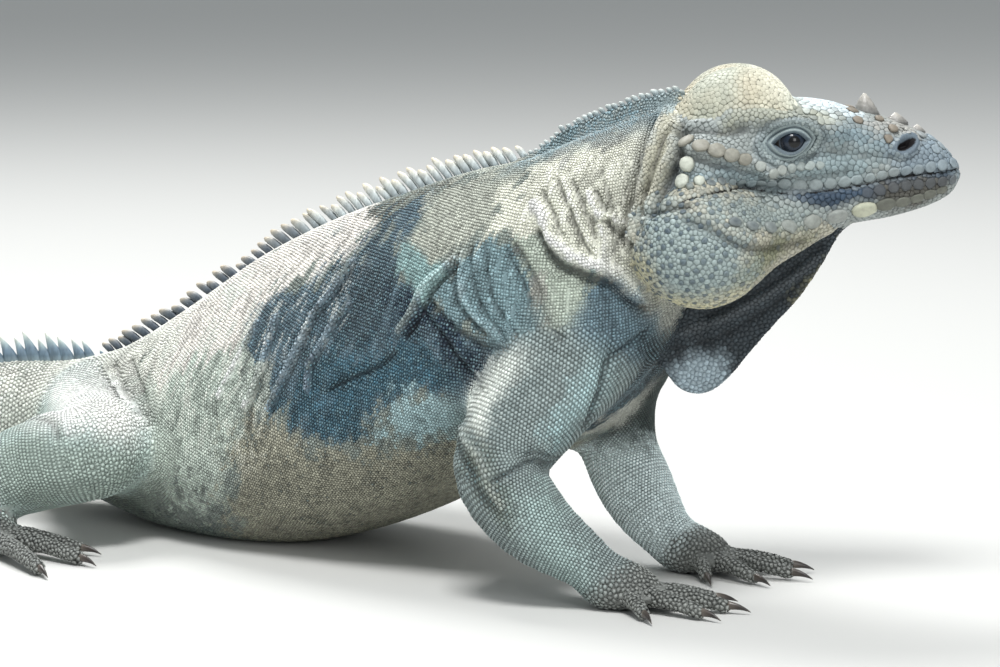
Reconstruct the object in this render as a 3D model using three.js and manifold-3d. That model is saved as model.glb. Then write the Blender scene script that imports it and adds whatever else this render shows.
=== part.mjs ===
// A rhinoceros iguana (Cyclura cornuta), an adult male, as a still, life-size model. It lies on its belly
// with the forequarters pushed up on both arms, the head high and level, and the tail laid along the
// floor. Millimetres, +Z up, the head towards +X, the animal's right side towards -Y, the floor at Z 0.
// The spine is an S in plan, so the body is one loft of upright sections along a curve, and each limb is
// a loft along its bones. Pieces are parted by thin gaps, and all that touches the floor is cut flat.
import * as THREE from "three";
import { mergeVertices } from "three/addons/utils/BufferGeometryUtils.js";
import Module from "manifold-3d";

const wasm = await Module();
wasm.setup();

// ---------------------------------------------------------------- driving dimensions

const GAP = 0.35; // clear space between two pieces that meet
const TRUNK_SIDES = 20; // facets round the neck and trunk
const TAIL_SIDES = 14;
const HEAD_SIDES = 14;
const LIMB_SIDES = 9;
const DIGIT_SIDES = 5;

// The body's sections from the skull back to the tail tip. Each is upright and square to the spine in
// plan: [x, y, top, bottom, half width, height of the widest level].
const SPINE = [
  [86, 0, 187, 144, 21, 165],
  [70, 3, 187, 108, 31, 150],
  [53, 8.5, 183, 78, 41, 130],
  [36, 17.5, 176, 60, 48, 113],
  [16, 33, 166, 47, 53, 99],
  [-8, 55, 158.5, 33, 56, 86],
  [-32, 77, 148.5, 17, 59, 72],
  [-60, 103, 135.5, 3, 61, 60],
  [-84, 123, 122, -3, 60, 51],
  [-106, 141, 106, -4, 55, 44],
  [-127, 156.5, 91, -3, 47, 40],
  [-146, 169, 78.5, 0, 38, 38],
  [-164, 180, 69, 5, 30.5, 37],
  [-186, 191, 64, 11, 25.5, 37],
  [-214, 199.5, 62, 12, 23, 36],
  [-250, 205, 54, 6, 21, 30],
  [-292, 205, 42, -1, 19, 21],
  [-340, 196, 34, -1.5, 16.5, 16],
  [-392, 179, 28.5, -1.5, 14, 13.5],
  [-446, 162, 23.5, -1.5, 11.6, 11],
  [-502, 152, 19, -1.5, 9.3, 9],
  [-558, 153, 15, -1.2, 7.3, 7],
  [-612, 164, 11.5, -1, 5.5, 5.3],
  [-662, 184, 8, -0.8, 3.8, 3.8],
  [-704, 208, 4.6, -0.5, 2, 2.2],
];

// The named lengths of the body, by the first and last section of each.
const BODY_LENGTHS = [
  { name: "neck", from: 0, to: 3, steps: 6, sides: TRUNK_SIDES, slot: "neck_skin" },
  { name: "trunk_front", from: 3, to: 7, steps: 6, sides: TRUNK_SIDES, slot: "trunk_skin" },
  { name: "trunk_rear", from: 7, to: 12.4, steps: 7, sides: TRUNK_SIDES, slot: "trunk_skin" },
  { name: "tail_base", from: 12.4, to: 15.6, steps: 5, sides: TAIL_SIDES, slot: "tail_skin" },
  { name: "tail_middle", from: 15.6, to: 18.6, steps: 4, sides: TAIL_SIDES, slot: "tail_skin" },
  { name: "tail_rear", from: 18.6, to: 21.4, steps: 4, sides: TAIL_SIDES, slot: "tail_skin" },
  { name: "tail_tip", from: 21.4, to: 24, steps: 4, sides: TAIL_SIDES, slot: "tail_skin" },
];

// The rows of horny spikes down the back and the tail, by spine section: height grows to its peak, then
// fades.
const SPIKE_ROWS = [
  { from: 4.35, peak: 5.6, to: 11.9, pitch: 5.6, tall: 10, least: 2.2 },
  { from: 12.5, peak: 13.3, to: 20, pitch: 7.4, tall: 12.5, least: 1.6 },
];
const SPIKE_LEAN = 24; // degrees back from upright
const NAPE_RIDGE = { from: 0.95, to: 4.3, tall: 7.5, thick: 6.5, steps: 6 };

// The upper head and the lower jaw: [x, top, bottom, half width]. The mouth line is the upper head's
// lower edge, and the jaw is cut back from it.
const UPPER_HEAD = [
  [174, 166.5, 163.1, 4.6],
  [171, 171.5, 163.2, 8],
  [165.5, 175.9, 163.4, 11.4],
  [157, 180.2, 162.8, 14.8],
  [146, 184.4, 160.9, 17.6],
  [135, 187.2, 158.9, 20.2],
  [125, 190.2, 157.4, 22.6],
  [113, 191.3, 156.8, 25.4],
  [99, 190, 158.6, 29.4],
  [84, 189, 159.2, 34],
  [72, 186, 155.6, 35.5],
  [62, 181.5, 151.4, 32],
  [53, 175, 152, 24],
];
const LOWER_JAW = [
  [174.8, 165, 157, 4.8],
  [171.5, 166, 153.2, 8.6],
  [163, 166, 149, 12.8],
  [149, 164, 145, 16.9],
  [134, 162, 142.4, 20.2],
  [117, 161, 138.4, 24],
  [99, 161, 133.2, 28.8],
  [81, 161, 128.8, 32.8],
  [66, 158, 129, 31.5],
  [58, 154, 133, 27],
];
const BROW = { from: [87, 25, 185.5], middle: [108, 25.5, 184.6], to: [128, 20.5, 179.4], radius: 3.6 };
const CROWN_PAD = { centre: [91, 9.5, 184.5], radii: [22.3, 17.5, 19.4], fullness: 0.88 };
const JOWL = { centre: [75, 30, 138], radii: [25.5, 21, 24.5], chin: [121, 12, 145], chinRadius: 8 };
const EYE = { centre: [109.7, 21, 176], radius: 7.2 };
const HORNS = [
  { name: "horn_main", x: 140.4, radius: 4.8, tall: 7, lean: 5 },
  { name: "horn_middle", x: 151.2, radius: 4.2, tall: 3.4, lean: 2 },
  { name: "horn_front", x: 159, radius: 2.9, tall: 2.3, lean: 2 },
];

// The dewlap is a thin flap in the head's own plane: its outline in X and Z, as points on smooth curves.
const DEWLAP = {
  outline: [
    [132, 142], [124, 127], [115, 113.5], [105, 102.5], [96, 92], [89.5, 84], [83, 78.3],
    [76.5, 76.2], [70, 77.8], [65, 82.5], [61.5, 90], [59.5, 100], [57, 112], [56, 128],
  ],
  thick: 5.6,
  rounding: 1.7,
};

// Limbs, as bones in the frame: each joint is [x, y, z, radius], and each digit is drawn from the palm or
// sole.
const LIMBS = [
  {
    side: "right",
    arm: true,
    names: ["upper_arm", "forearm", "hand"],
    upper: [[40, 3, 112, 26], [17, -13, 80, 22.5], [1, -21, 60, 20]],
    lower: [[-1, -24, 46, 17], [11, -30, 33, 16.3], [31, -36, 18.5, 11.3]],
    palm: { at: [46, -38, 8.4], radii: [15, 12.5, 9.6] },
    heading: -12,
  },
  {
    side: "left",
    arm: true,
    names: ["upper_arm", "forearm", "hand"],
    upper: [[58, 42, 106, 24], [47, 54, 76, 18], [44.5, 60, 54, 15.5]],
    lower: [[50, 60, 45, 16.3], [54.5, 53, 31, 15.8], [64, 44, 17, 12.5]],
    palm: { at: [77, 37, 8.2], radii: [15, 12.5, 9.6] },
    heading: -30,
  },
  {
    side: "right",
    arm: false,
    names: ["thigh", "shank", "foot"],
    upper: [[-170, 163, 41, 24.5], [-168, 128, 38.5, 22.5], [-166, 101, 39, 20.5]],
    lower: [[-167, 91, 38.5, 20.3], [-194, 98, 31, 18.8], [-222, 108, 14, 12]],
    palm: { at: [-212, 90, 8], radii: [18, 12.5, 9.4] },
    heading: -42,
  },
  {
    side: "left",
    arm: false,
    names: ["thigh", "shank", "foot"],
    upper: [[-150, 194, 41, 24.5], [-118, 208, 38.5, 22.5], [-90, 221, 38.5, 20.5]],
    lower: [[-83, 227, 38, 20.3], [-103, 243, 31, 18.8], [-126, 261, 14, 12]],
    palm: { at: [-109, 259, 8], radii: [18, 12.5, 9.4] },
    heading: 14,
  },
];
// Digits fan out from the heading of the hand or foot: angle in degrees, seen from above on a right limb,
// with the innermost digit last, then length and radius, and how far forward of the palm's middle each
// one starts.
const FINGERS = [
  { angle: -62, length: 22, radius: 3.6, start: 5 },
  { angle: -28, length: 29, radius: 3.8, start: 8 },
  { angle: -4, length: 31, radius: 3.8, start: 9 },
  { angle: 22, length: 27, radius: 3.7, start: 8 },
  { angle: 52, length: 19, radius: 3.5, start: 6 },
];
const TOES = [
  { angle: -58, length: 32, radius: 3.6, start: 3 },
  { angle: -22, length: 58, radius: 4.1, start: 11 },
  { angle: 0, length: 47, radius: 4, start: 12 },
  { angle: 20, length: 34, radius: 3.8, start: 11 },
  { angle: 44, length: 22, radius: 3.6, start: 8 },
];
const CLAW = { length: 9, radius: 1.9, drop: 2.2, sides: 4, steps: 2 };

// ---------------------------------------------------------------- curves, lofts and solids

// A smooth value through evenly spaced stations, by the Catmull-Rom rule, column by column.
function smooth(stations, at) {
  const last = stations.length - 1;
  const i = Math.min(Math.floor(at), last - 1);
  const t = at - i;
  const pick = (k) => stations[Math.max(0, Math.min(last, k))];
  const [a, b, c, d] = [pick(i - 1), pick(i), pick(i + 1), pick(i + 2)];
  return b.map((_, k) => {
    const across = c[k] - a[k];
    const bend = 2 * a[k] - 5 * b[k] + 4 * c[k] - d[k];
    const twist = 3 * b[k] - a[k] - 3 * c[k] + d[k];
    return b[k] + 0.5 * t * (across + t * (bend + t * twist));
  });
}

// A closed skin over rings of points, one flat fan on each end. Rings turn the same way and hold equal
// counts.
function loft(rings) {
  const count = rings[0].length;
  const positions = rings.flat().flatMap((p) => [p.x, p.y, p.z]);
  const faces = [];
  for (let r = 0; r + 1 < rings.length; r++)
    for (let k = 0; k < count; k++) {
      const [a, b] = [r * count + k, r * count + ((k + 1) % count)];
      faces.push(a, b, a + count, b, b + count, a + count);
    }
  for (const r of [0, rings.length - 1]) {
    const middle = new THREE.Vector3();
    rings[r].forEach((p) => middle.addScaledVector(p, 1 / count));
    const hub = positions.length / 3;
    positions.push(middle.x, middle.y, middle.z);
    for (let k = 0; k < count; k++) {
      const [a, b] = [r * count + k, r * count + ((k + 1) % count)];
      faces.push(hub, r ? a : b, r ? b : a);
    }
  }
  const geometry = new THREE.BufferGeometry();
  geometry.setAttribute("position", new THREE.Float32BufferAttribute(positions, 3));
  geometry.setIndex(faces);
  return solidOf(geometry);
}

// A geometry as a manifold solid, turned the right way out.
function solidOf(geometry) {
  const bare = geometry.clone();
  bare.deleteAttribute("normal");
  bare.deleteAttribute("uv");
  const merged = mergeVertices(bare, 1e-4);
  const build = (triVerts) =>
    new wasm.Manifold(
      new wasm.Mesh({ numProp: 3, vertProperties: merged.attributes.position.array, triVerts }),
    );
  const made = build(new Uint32Array(merged.index.array));
  if (made.volume() > 0) return made;
  return build(new Uint32Array(merged.index.array).reverse());
}

// A superellipse corner: power 1 is an ellipse, less than 1 is fuller.
const corner = (value, power) => Math.sign(value) * Math.abs(value) ** power;

// An ellipsoid, or a fuller shape where fullness is less than 1.
function ellipsoid(centre, radii, grow = 0, across = 12, down = 7, fullness = 1) {
  const ball = new THREE.SphereGeometry(1, across, down);
  const { array } = ball.attributes.position;
  array.forEach((value, k) => {
    array[k] = corner(value, fullness);
  });
  ball.scale(radii[0] + grow, radii[1] + grow, radii[2] + grow);
  ball.translate(...centre);
  return solidOf(ball);
}

// One upright section of the body, from its widest level up to the back and down to the belly.
function bodyRing(at, sides, grow) {
  const [x, y, top, bottom, half, level] = smooth(SPINE, at);
  const step = 0.02;
  const ahead = smooth(SPINE, Math.min(at + step, SPINE.length - 1));
  const behind = smooth(SPINE, Math.max(at - step, 0));
  const heading = new THREE.Vector2(ahead[0] - behind[0], ahead[1] - behind[1]).normalize();
  const ring = [];
  for (let k = 0; k < sides; k++) {
    const turn = (k / sides) * 2 * Math.PI;
    const [c, s] = [Math.cos(turn), Math.sin(turn)];
    const out = (half + grow) * corner(c, s > 0 ? 0.95 : 0.82);
    const rise = s > 0 ? top - level + grow : level - bottom + grow;
    const up = rise * corner(s, s > 0 ? 1.02 : 0.8);
    ring.push(new THREE.Vector3(x - heading.y * out, y + heading.x * out, level + up));
  }
  return ring;
}

function bodyLength({ from, to, steps, sides }, grow = 0) {
  const rings = [];
  for (let k = 0; k <= steps; k++) rings.push(bodyRing(from + ((to - from) * k) / steps, sides, grow));
  return loft(rings);
}

// A section of the head, square to X: flat-sided, and squarer on the side of the mouth.
function headRing([x, top, bottom, half], widest, grow) {
  const level = bottom + widest * (top - bottom);
  const ring = [];
  for (let k = 0; k < HEAD_SIDES; k++) {
    const turn = (k / HEAD_SIDES) * 2 * Math.PI;
    const [c, s] = [Math.cos(turn), Math.sin(turn)];
    const mouthSide = s > 0 === widest > 0.5;
    const out = (half + grow) * corner(c, mouthSide ? 0.5 : 0.8);
    const up = (s > 0 ? top - level + grow : level - bottom + grow) * corner(s, mouthSide ? 0.6 : 0.9);
    ring.push(new THREE.Vector3(x, out, level + up));
  }
  return ring;
}

// A loft through the head's stations, its widest level given as a share of its height.
function headLoft(stations, widest, grow = 0) {
  const rings = stations.map((station) => headRing(station, widest, grow));
  rings[0].forEach((point) => {
    point.x += grow;
  });
  return loft(rings);
}
const upperHead = (grow) => headLoft(UPPER_HEAD, 0.36, grow);
const lowerJaw = (grow) => headLoft(LOWER_JAW, 0.64, grow);

// A round limb along joints [x, y, z, radius], with a domed tip and, unless it is buried, a domed root.
// Its sections keep one side direction throughout.
function limbTube(joints, sides, grow = 0, steps = 3, rootDome = true) {
  const rings = [];
  const place = (at) => smooth(joints, Math.min(at, joints.length - 1 - 1e-6));
  const ends = (at) => {
    const [a, b] = [place(Math.max(at - 0.05, 0)), place(Math.min(at + 0.05, joints.length - 1))];
    return new THREE.Vector3(b[0] - a[0], b[1] - a[1], b[2] - a[2]).normalize();
  };
  const lengthwise = ends((joints.length - 1) / 2);
  const side = new THREE.Vector3(-lengthwise.y, lengthwise.x, 0).normalize();
  const ring = (at, along, share) => {
    const [x, y, z, radius] = place(at);
    const forward = ends(at);
    const out = side.clone().addScaledVector(forward, -side.dot(forward)).normalize();
    const up = new THREE.Vector3().crossVectors(forward, out);
    const middle = new THREE.Vector3(x, y, z).addScaledVector(forward, along * (radius + grow));
    const points = [];
    for (let k = 0; k < sides; k++) {
      const turn = (k / sides) * 2 * Math.PI;
      const reach = (radius + grow) * share;
      points.push(
        middle
          .clone()
          .addScaledVector(out, reach * Math.cos(turn))
          .addScaledVector(up, reach * Math.sin(turn)),
      );
    }
    return points;
  };
  const last = joints.length - 1;
  if (rootDome) rings.push(ring(0, -0.85, 0.5));
  for (let k = 0; k <= steps; k++) rings.push(ring((last * k) / steps, 0, 1));
  rings.push(ring(last, 0.85, 0.5));
  return loft(rings);
}

// The largest body of a solid that a cut has left in pieces.
function largest(solid) {
  return solid.decompose().reduce((best, next) => (next.volume() > best.volume() ? next : best));
}

const floorBlock = solidOf(new THREE.BoxGeometry(3000, 3000, 200).translate(0, 0, -100));
const join = (...solids) => solids.reduce((all, next) => all.add(next));
const cut = (solid, ...tools) => largest(tools.reduce((left, tool) => left.subtract(tool), solid));

// ---------------------------------------------------------------- materials

const SLOTS = {
  head_skin: [0x8f979a, 0.62],
  crown_skin: [0xcfc39a, 0.55],
  jowl_skin: [0xa9b0a6, 0.6],
  dewlap_skin: [0x6b6f76, 0.68],
  neck_skin: [0xb3ab98, 0.66],
  trunk_skin: [0x77858b, 0.62],
  tail_skin: [0x8b9897, 0.62],
  limb_skin: [0x93958c, 0.66],
  horn: [0xa79a93, 0.45],
  claw: [0x2e2b2c, 0.35],
  eye: [0x15171c, 0.06],
};
const finishes = Object.fromEntries(
  Object.entries(SLOTS).map(([slot, [color, roughness]]) => [
    slot,
    new THREE.MeshStandardMaterial({ name: slot, color, roughness, metalness: 0 }),
  ]),
);

// ---------------------------------------------------------------- pieces

const iguana = new THREE.Group();

function piece(name, solid, slot) {
  const { vertProperties, triVerts } = solid.getMesh();
  const geometry = new THREE.BufferGeometry();
  geometry.setAttribute("position", new THREE.BufferAttribute(new Float32Array(vertProperties), 3));
  geometry.setIndex(new THREE.BufferAttribute(new Uint32Array(triVerts), 1));
  geometry.computeVertexNormals();
  const mesh = new THREE.Mesh(geometry, finishes[slot]);
  mesh.name = name;
  iguana.add(mesh);
}

// The spine's place, heading and slope at the back's midline.
function backline(at) {
  const [x, y, top] = smooth(SPINE, at);
  const next = smooth(SPINE, Math.min(at + 0.05, SPINE.length - 1.001));
  const forward = new THREE.Vector3(x - next[0], y - next[1], top - next[2]).normalize();
  return { place: new THREE.Vector3(x, y, top), forward };
}

// Section numbers spaced by a real distance along the back.
function spacedAlong(from, to, pitch) {
  const found = [];
  let travelled = 0;
  let before = backline(from).place;
  for (let at = from; at < to; at += 0.01) {
    const here = backline(at).place;
    travelled += here.distanceTo(before);
    before = here;
    if (travelled >= pitch) {
      found.push(at);
      travelled = 0;
    }
  }
  return found;
}

// A flat, horny spike that leans a little back and is rooted in the skin.
function spike(at, tall, root = 3) {
  const { place, forward } = backline(at);
  const cone = new THREE.ConeGeometry(1, tall + root, 4, 1);
  cone.rotateX(Math.PI / 2);
  cone.translate(0, 0, (tall + root) / 2 - root);
  const wide = Math.min(2.9, 0.9 + tall * 0.2);
  cone.scale(wide, wide * 0.62, 1);
  cone.rotateY(THREE.MathUtils.degToRad(-SPIKE_LEAN));
  const left = new THREE.Vector3(-forward.y, forward.x, 0).normalize();
  const up = new THREE.Vector3().crossVectors(forward, left);
  cone.applyMatrix4(new THREE.Matrix4().makeBasis(forward, left, up).setPosition(place));
  return solidOf(cone);
}

function spikesBetween(from, to) {
  return SPIKE_ROWS.flatMap((row) =>
    spacedAlong(row.from, row.to, row.pitch)
      .filter((at) => at > from + 0.06 && at < to - 0.06)
      .map((at) => {
        const edge = at < row.peak ? row.from : row.to;
        const share = (at - edge) / (row.peak - edge);
        return spike(at, row.least + (row.tall - row.least) * Math.sqrt(Math.max(0, share)));
      }),
  );
}

// The raised ridge of skin along the nape, under its row of low knobs.
function napeRidge(from, to) {
  const rings = [];
  for (let k = 0; k <= NAPE_RIDGE.steps; k++) {
    const at = from + ((to - from) * k) / NAPE_RIDGE.steps;
    const { place, forward } = backline(at);
    const left = new THREE.Vector3(-forward.y, forward.x, 0).normalize();
    const fade = Math.min(1, (NAPE_RIDGE.to - at) / 0.7);
    const tall = NAPE_RIDGE.tall * Math.max(0.15, fade);
    const profile = [[-0.5, -6], [0.5, -6], [0.5, 0], [0.24, 0.75], [0, 1], [-0.24, 0.75], [-0.5, 0]];
    rings.push(
      profile.map(([across, high]) => {
        const point = place.clone().addScaledVector(left, across * NAPE_RIDGE.thick);
        point.z += high < 0 ? high : high * tall;
        return point;
      }),
    );
  }
  return loft(rings);
}

// What the limbs and the jowls are cut back from: each length runs a little into the next.
const neckAndTrunk = BODY_LENGTHS.slice(0, 4).map((length) =>
  bodyLength({ ...length, from: Math.max(0, length.from - 0.03), to: length.to + 0.03 }, GAP),
);
const gapInSections = 0.006;
for (const length of BODY_LENGTHS) {
  const { name, from, to, slot } = length;
  const shell = bodyLength({ ...length, from: from + gapInSections, to: to - gapInSections * (to < 24) });
  let whole = join(shell, ...spikesBetween(from, to));
  if (name === "neck") whole = join(whole, napeRidge(NAPE_RIDGE.from, to - gapInSections));
  if (name === "trunk_front") whole = join(whole, napeRidge(from + gapInSections, NAPE_RIDGE.to));
  if (name === "neck") whole = cut(whole, upperHead(GAP), lowerJaw(GAP), crownPad(GAP));
  piece(name, cut(whole, floorBlock), slot);
}

// The two fat pads over the jaw muscles, which meet as one dome on the crown.
function crownPad(grow = 0) {
  const { centre, radii, fullness } = CROWN_PAD;
  const [x, y, z] = centre;
  const pad = (side) => ellipsoid([x, side * y, z], radii, grow, 12, 6, fullness);
  return join(pad(1), pad(-1));
}

const eyeball = (sign, grow = 0) => {
  const [x, y, z] = EYE.centre;
  return ellipsoid([x, sign * y, z], [EYE.radius, EYE.radius, EYE.radius], grow, 9, 6);
};

const headTool = upperHead(GAP);
const jawTool = lowerJaw(GAP);
const neckTool = bodyLength(BODY_LENGTHS[0], GAP);

// The brow is a ridge of skin over each eye.
function brow(sign, grow = 0) {
  const points = [BROW.from, BROW.middle, BROW.to].map(([x, y, z]) => [x, sign * y, z, BROW.radius]);
  return limbTube(points, 5, grow, 2);
}
const skull = join(upperHead(), brow(1), brow(-1));
piece("head", cut(skull, eyeball(1, GAP), eyeball(-1, GAP)), "head_skin");
piece("lower_jaw", cut(lowerJaw(), headTool), "head_skin");
piece("crown_pad", cut(crownPad(), headTool, brow(1, GAP), brow(-1, GAP)), "crown_skin");
piece("eye_right", eyeball(-1), "eye");
piece("eye_left", eyeball(1), "eye");

for (const { name, x, radius, tall, lean } of HORNS) {
  const index = UPPER_HEAD.findIndex((station) => station[0] <= x);
  const [ahead, behind] = [UPPER_HEAD[index - 1], UPPER_HEAD[index]];
  const base = THREE.MathUtils.mapLinear(x, behind[0], ahead[0], behind[1], ahead[1]);
  const outline = [[0, -5], [1, -5], [1, 0], [0.62, 0.62], [0.26, 0.95], [0, 1]];
  const points = outline.map(([out, high]) => new THREE.Vector2(out * radius, high < 0 ? high : high * tall));
  const cone = new THREE.LatheGeometry(points, 8);
  cone.rotateX(Math.PI / 2);
  cone.scale(1, 0.85, 1);
  cone.rotateY(THREE.MathUtils.degToRad(-lean));
  cone.translate(x, 0, base);
  piece(name, cut(solidOf(cone), headTool), "horn");
}

// The jowls bulge behind the jaw's corner and taper forward under it.
function jowl(sign, grow = 0) {
  const [x, y, z] = JOWL.centre;
  const [cx, cy, cz] = JOWL.chin;
  const bag = ellipsoid([x, sign * y, z], JOWL.radii, grow);
  const root = [x + 4, sign * (y - 3), z - 2, 19];
  const halfway = [(x + cx) / 2 + 4, sign * ((y + cy) / 2), (z + cz) / 2 - 1, 13];
  const tip = [cx, sign * cy, cz, JOWL.chinRadius];
  const taper = limbTube([root, halfway, tip], 8, grow, 2, false);
  return join(bag, taper);
}
for (const [side, sign] of [["right", -1], ["left", 1]]) {
  const whole = jowl(sign);
  piece(`jowl_${side}`, cut(whole, headTool, jawTool, neckTool, ...neckAndTrunk), "jowl_skin");
}

// The dewlap, a flap of even thickness with a smooth outline.
{
  const rim = new THREE.CatmullRomCurve3(DEWLAP.outline.map(([x, z]) => new THREE.Vector3(x, z, 0)));
  const shape = new THREE.Shape(rim.getPoints(22).map((p) => new THREE.Vector2(p.x, p.y)));
  const { thick, rounding } = DEWLAP;
  const flap = new THREE.ExtrudeGeometry(shape, {
    depth: thick - 2 * rounding,
    bevelThickness: rounding,
    bevelSize: rounding,
    bevelOffset: -rounding,
    bevelSegments: 1,
  });
  flap.rotateX(Math.PI / 2);
  flap.translate(0, thick / 2 - rounding, 0);
  const tools = [headTool, jawTool, jowl(1, GAP), jowl(-1, GAP), ...neckAndTrunk];
  piece("dewlap", cut(solidOf(flap), ...tools), "dewlap_skin");
}

// Limbs: the upper length is cut back from the body, the lower from the upper, and the hand or foot from
// the lower.
for (const limb of LIMBS) {
  const mirror = limb.side === "right" ? 1 : -1;
  const [upperName, lowerName, endName] = limb.names.map((part) => `${part}_${limb.side}`);
  const upper = limbTube(limb.upper, LIMB_SIDES);
  const lower = limbTube(limb.lower, LIMB_SIDES);
  const upperTool = limbTube(limb.upper, LIMB_SIDES, GAP);
  const lowerTool = limbTube(limb.lower, LIMB_SIDES, GAP);
  const beside = [...neckAndTrunk, jowl(1, GAP), jowl(-1, GAP), floorBlock];
  piece(upperName, cut(upper, ...beside), "limb_skin");
  piece(lowerName, cut(lower, upperTool, ...beside), "limb_skin");

  const [px, py, pz] = limb.palm.at;
  const palm = new THREE.SphereGeometry(1, 9, 6).scale(...limb.palm.radii);
  palm.rotateZ(THREE.MathUtils.degToRad(limb.heading));
  palm.translate(px, py, pz);
  const digits = limb.arm ? FINGERS : TOES;
  let whole = solidOf(palm);
  digits.forEach(({ angle, length, radius, start }, k) => {
    const turn = THREE.MathUtils.degToRad(limb.heading + mirror * angle);
    const along = new THREE.Vector3(Math.cos(turn), Math.sin(turn), 0);
    const root = new THREE.Vector3(px, py, 0).addScaledVector(along, start);
    const point = (share, height) => root.clone().addScaledVector(along, share * length).setZ(height);
    const joint = (share, height, r) => [...point(share, height).toArray(), r];
    const bones = [
      joint(0, pz * 0.7, radius * 1.25),
      joint(0.55, radius * 1.5, radius),
      joint(1, radius * 0.8, radius * 0.82),
    ];
    whole = join(whole, limbTube(bones, DIGIT_SIDES, 0, 1, false));

    const tipGap = 0.85 * radius * 0.82 + GAP;
    const tip = point(1, radius * 0.8).addScaledVector(along, tipGap);
    const end = tip.clone().addScaledVector(along, CLAW.length).setZ(CLAW.radius - CLAW.drop + 1.4);
    piece(`claw_${endName}_${k + 1}`, clawBetween(tip, end), "claw");
  });
  piece(endName, cut(whole, lowerTool, upperTool, floorBlock), "limb_skin");
}

// A curved claw that tapers from a round root to a blunt point.
function clawBetween(root, end) {
  const middle = root.clone().lerp(end, 0.55);
  middle.z += 1.1;
  const curve = new THREE.QuadraticBezierCurve3(root, middle, end);
  const rings = [];
  for (let k = 0; k <= CLAW.steps; k++) {
    const at = k / CLAW.steps;
    const place = curve.getPoint(at);
    const forward = curve.getTangent(at);
    const out = new THREE.Vector3(-forward.y, forward.x, 0).normalize();
    const up = new THREE.Vector3().crossVectors(forward, out);
    const radius = CLAW.radius * (1 - 0.72 * at);
    const ring = [];
    for (let s = 0; s < CLAW.sides; s++) {
      const turn = (s / CLAW.sides) * 2 * Math.PI;
      ring.push(
        place
          .clone()
          .addScaledVector(out, radius * 0.8 * Math.cos(turn))
          .addScaledVector(up, radius * Math.sin(turn)),
      );
    }
    rings.push(ring);
  }
  return cut(loft(rings), floorBlock);
}

// The origin is the middle of the model's footprint, on the floor.
const bounds = new THREE.Box3().setFromObject(iguana);
const middle = bounds.getCenter(new THREE.Vector3());
iguana.position.set(-middle.x, -middle.y, -bounds.min.z);

export default iguana;
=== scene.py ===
import math

import bmesh
import bpy
import numpy as np
import openvdb
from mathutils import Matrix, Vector, kdtree


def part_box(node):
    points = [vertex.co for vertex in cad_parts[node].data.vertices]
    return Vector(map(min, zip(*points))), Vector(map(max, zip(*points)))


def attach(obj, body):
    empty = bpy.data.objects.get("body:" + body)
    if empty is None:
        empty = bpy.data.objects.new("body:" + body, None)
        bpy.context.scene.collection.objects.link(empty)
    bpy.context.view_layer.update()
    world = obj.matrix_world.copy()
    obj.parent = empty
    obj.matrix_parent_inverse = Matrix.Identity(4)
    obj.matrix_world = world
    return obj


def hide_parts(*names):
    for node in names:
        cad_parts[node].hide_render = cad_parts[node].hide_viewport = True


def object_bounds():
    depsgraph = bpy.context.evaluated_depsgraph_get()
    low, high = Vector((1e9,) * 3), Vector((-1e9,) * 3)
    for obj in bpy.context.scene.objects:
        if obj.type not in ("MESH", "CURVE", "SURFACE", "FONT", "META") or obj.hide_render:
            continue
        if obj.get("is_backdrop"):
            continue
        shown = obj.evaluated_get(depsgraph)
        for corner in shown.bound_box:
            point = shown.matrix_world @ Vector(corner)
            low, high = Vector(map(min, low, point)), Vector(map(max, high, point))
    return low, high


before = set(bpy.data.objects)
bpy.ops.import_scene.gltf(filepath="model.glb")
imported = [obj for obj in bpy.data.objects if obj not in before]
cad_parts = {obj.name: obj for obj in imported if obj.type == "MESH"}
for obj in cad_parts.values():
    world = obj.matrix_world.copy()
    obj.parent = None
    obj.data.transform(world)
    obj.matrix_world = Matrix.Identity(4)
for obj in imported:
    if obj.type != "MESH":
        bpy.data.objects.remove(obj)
cad_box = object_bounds()

# ---- Flesh -------------------------------------------------------------------
# A rhinoceros iguana's body is one bag of soft skin over muscle and bone. Here its
# parts are swept from stations in millimetres and run into each other with fillets,
# in a space of heights above the skin, where minus is inside.
# X is the head's end, Y the animal's left and Z up; the eye says where that is in the part.
EYE = np.array((109.7, 21, 176))
EYE_RADIUS = 7.2
eye_low, eye_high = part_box("eye_right")
PLACE = np.array([eye_low.x * 1000 + EYE_RADIUS - EYE[0], (eye_low.y + eye_high.y) * 500 + EYE[1], 0])
COAT = 0.55  # how far the skin lies inside the solids, under its scales
OVER_FLOOR = 0.35  # how far the lowest skin stays over the floor

# x, y, top, bottom, half width, height of the widest place, from the nape to the tail's tip
SPINE = np.array(
    [(86, 0, 187, 144, 21, 165), (70, 3, 187, 108, 31, 150), (53, 8.5, 183, 78, 41, 130),
     (36, 17.5, 176, 60, 48, 113), (16, 33, 166, 47, 53, 99), (-8, 55, 158.5, 33, 56, 86),
     (-32, 77, 148.5, 17, 59, 72), (-60, 103, 135.5, 3, 61, 60), (-84, 123, 122, -3, 60, 51),
     (-106, 141, 106, -4, 55, 44), (-127, 156.5, 91, -3, 47, 40), (-146, 169, 78.5, 0, 38, 38),
     (-164, 180, 69, 5, 30.5, 37), (-186, 191, 64, 11, 25.5, 37), (-214, 199.5, 62, 12, 23, 36),
     (-250, 205, 54, 6, 21, 30), (-292, 205, 42, -1, 19, 21), (-340, 196, 34, -1.5, 16.5, 16),
     (-392, 179, 28.5, -1.5, 14, 13.5), (-446, 162, 23.5, -1.5, 11.6, 11), (-502, 152, 19, -1.5, 9.3, 9),
     (-558, 153, 15, -1.2, 7.3, 7), (-612, 164, 11.5, -1, 5.5, 5.3), (-662, 184, 8, -0.8, 3.8, 3.8),
     (-704, 208, 4.6, -0.5, 2, 2.2)],
    float,
)
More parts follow.
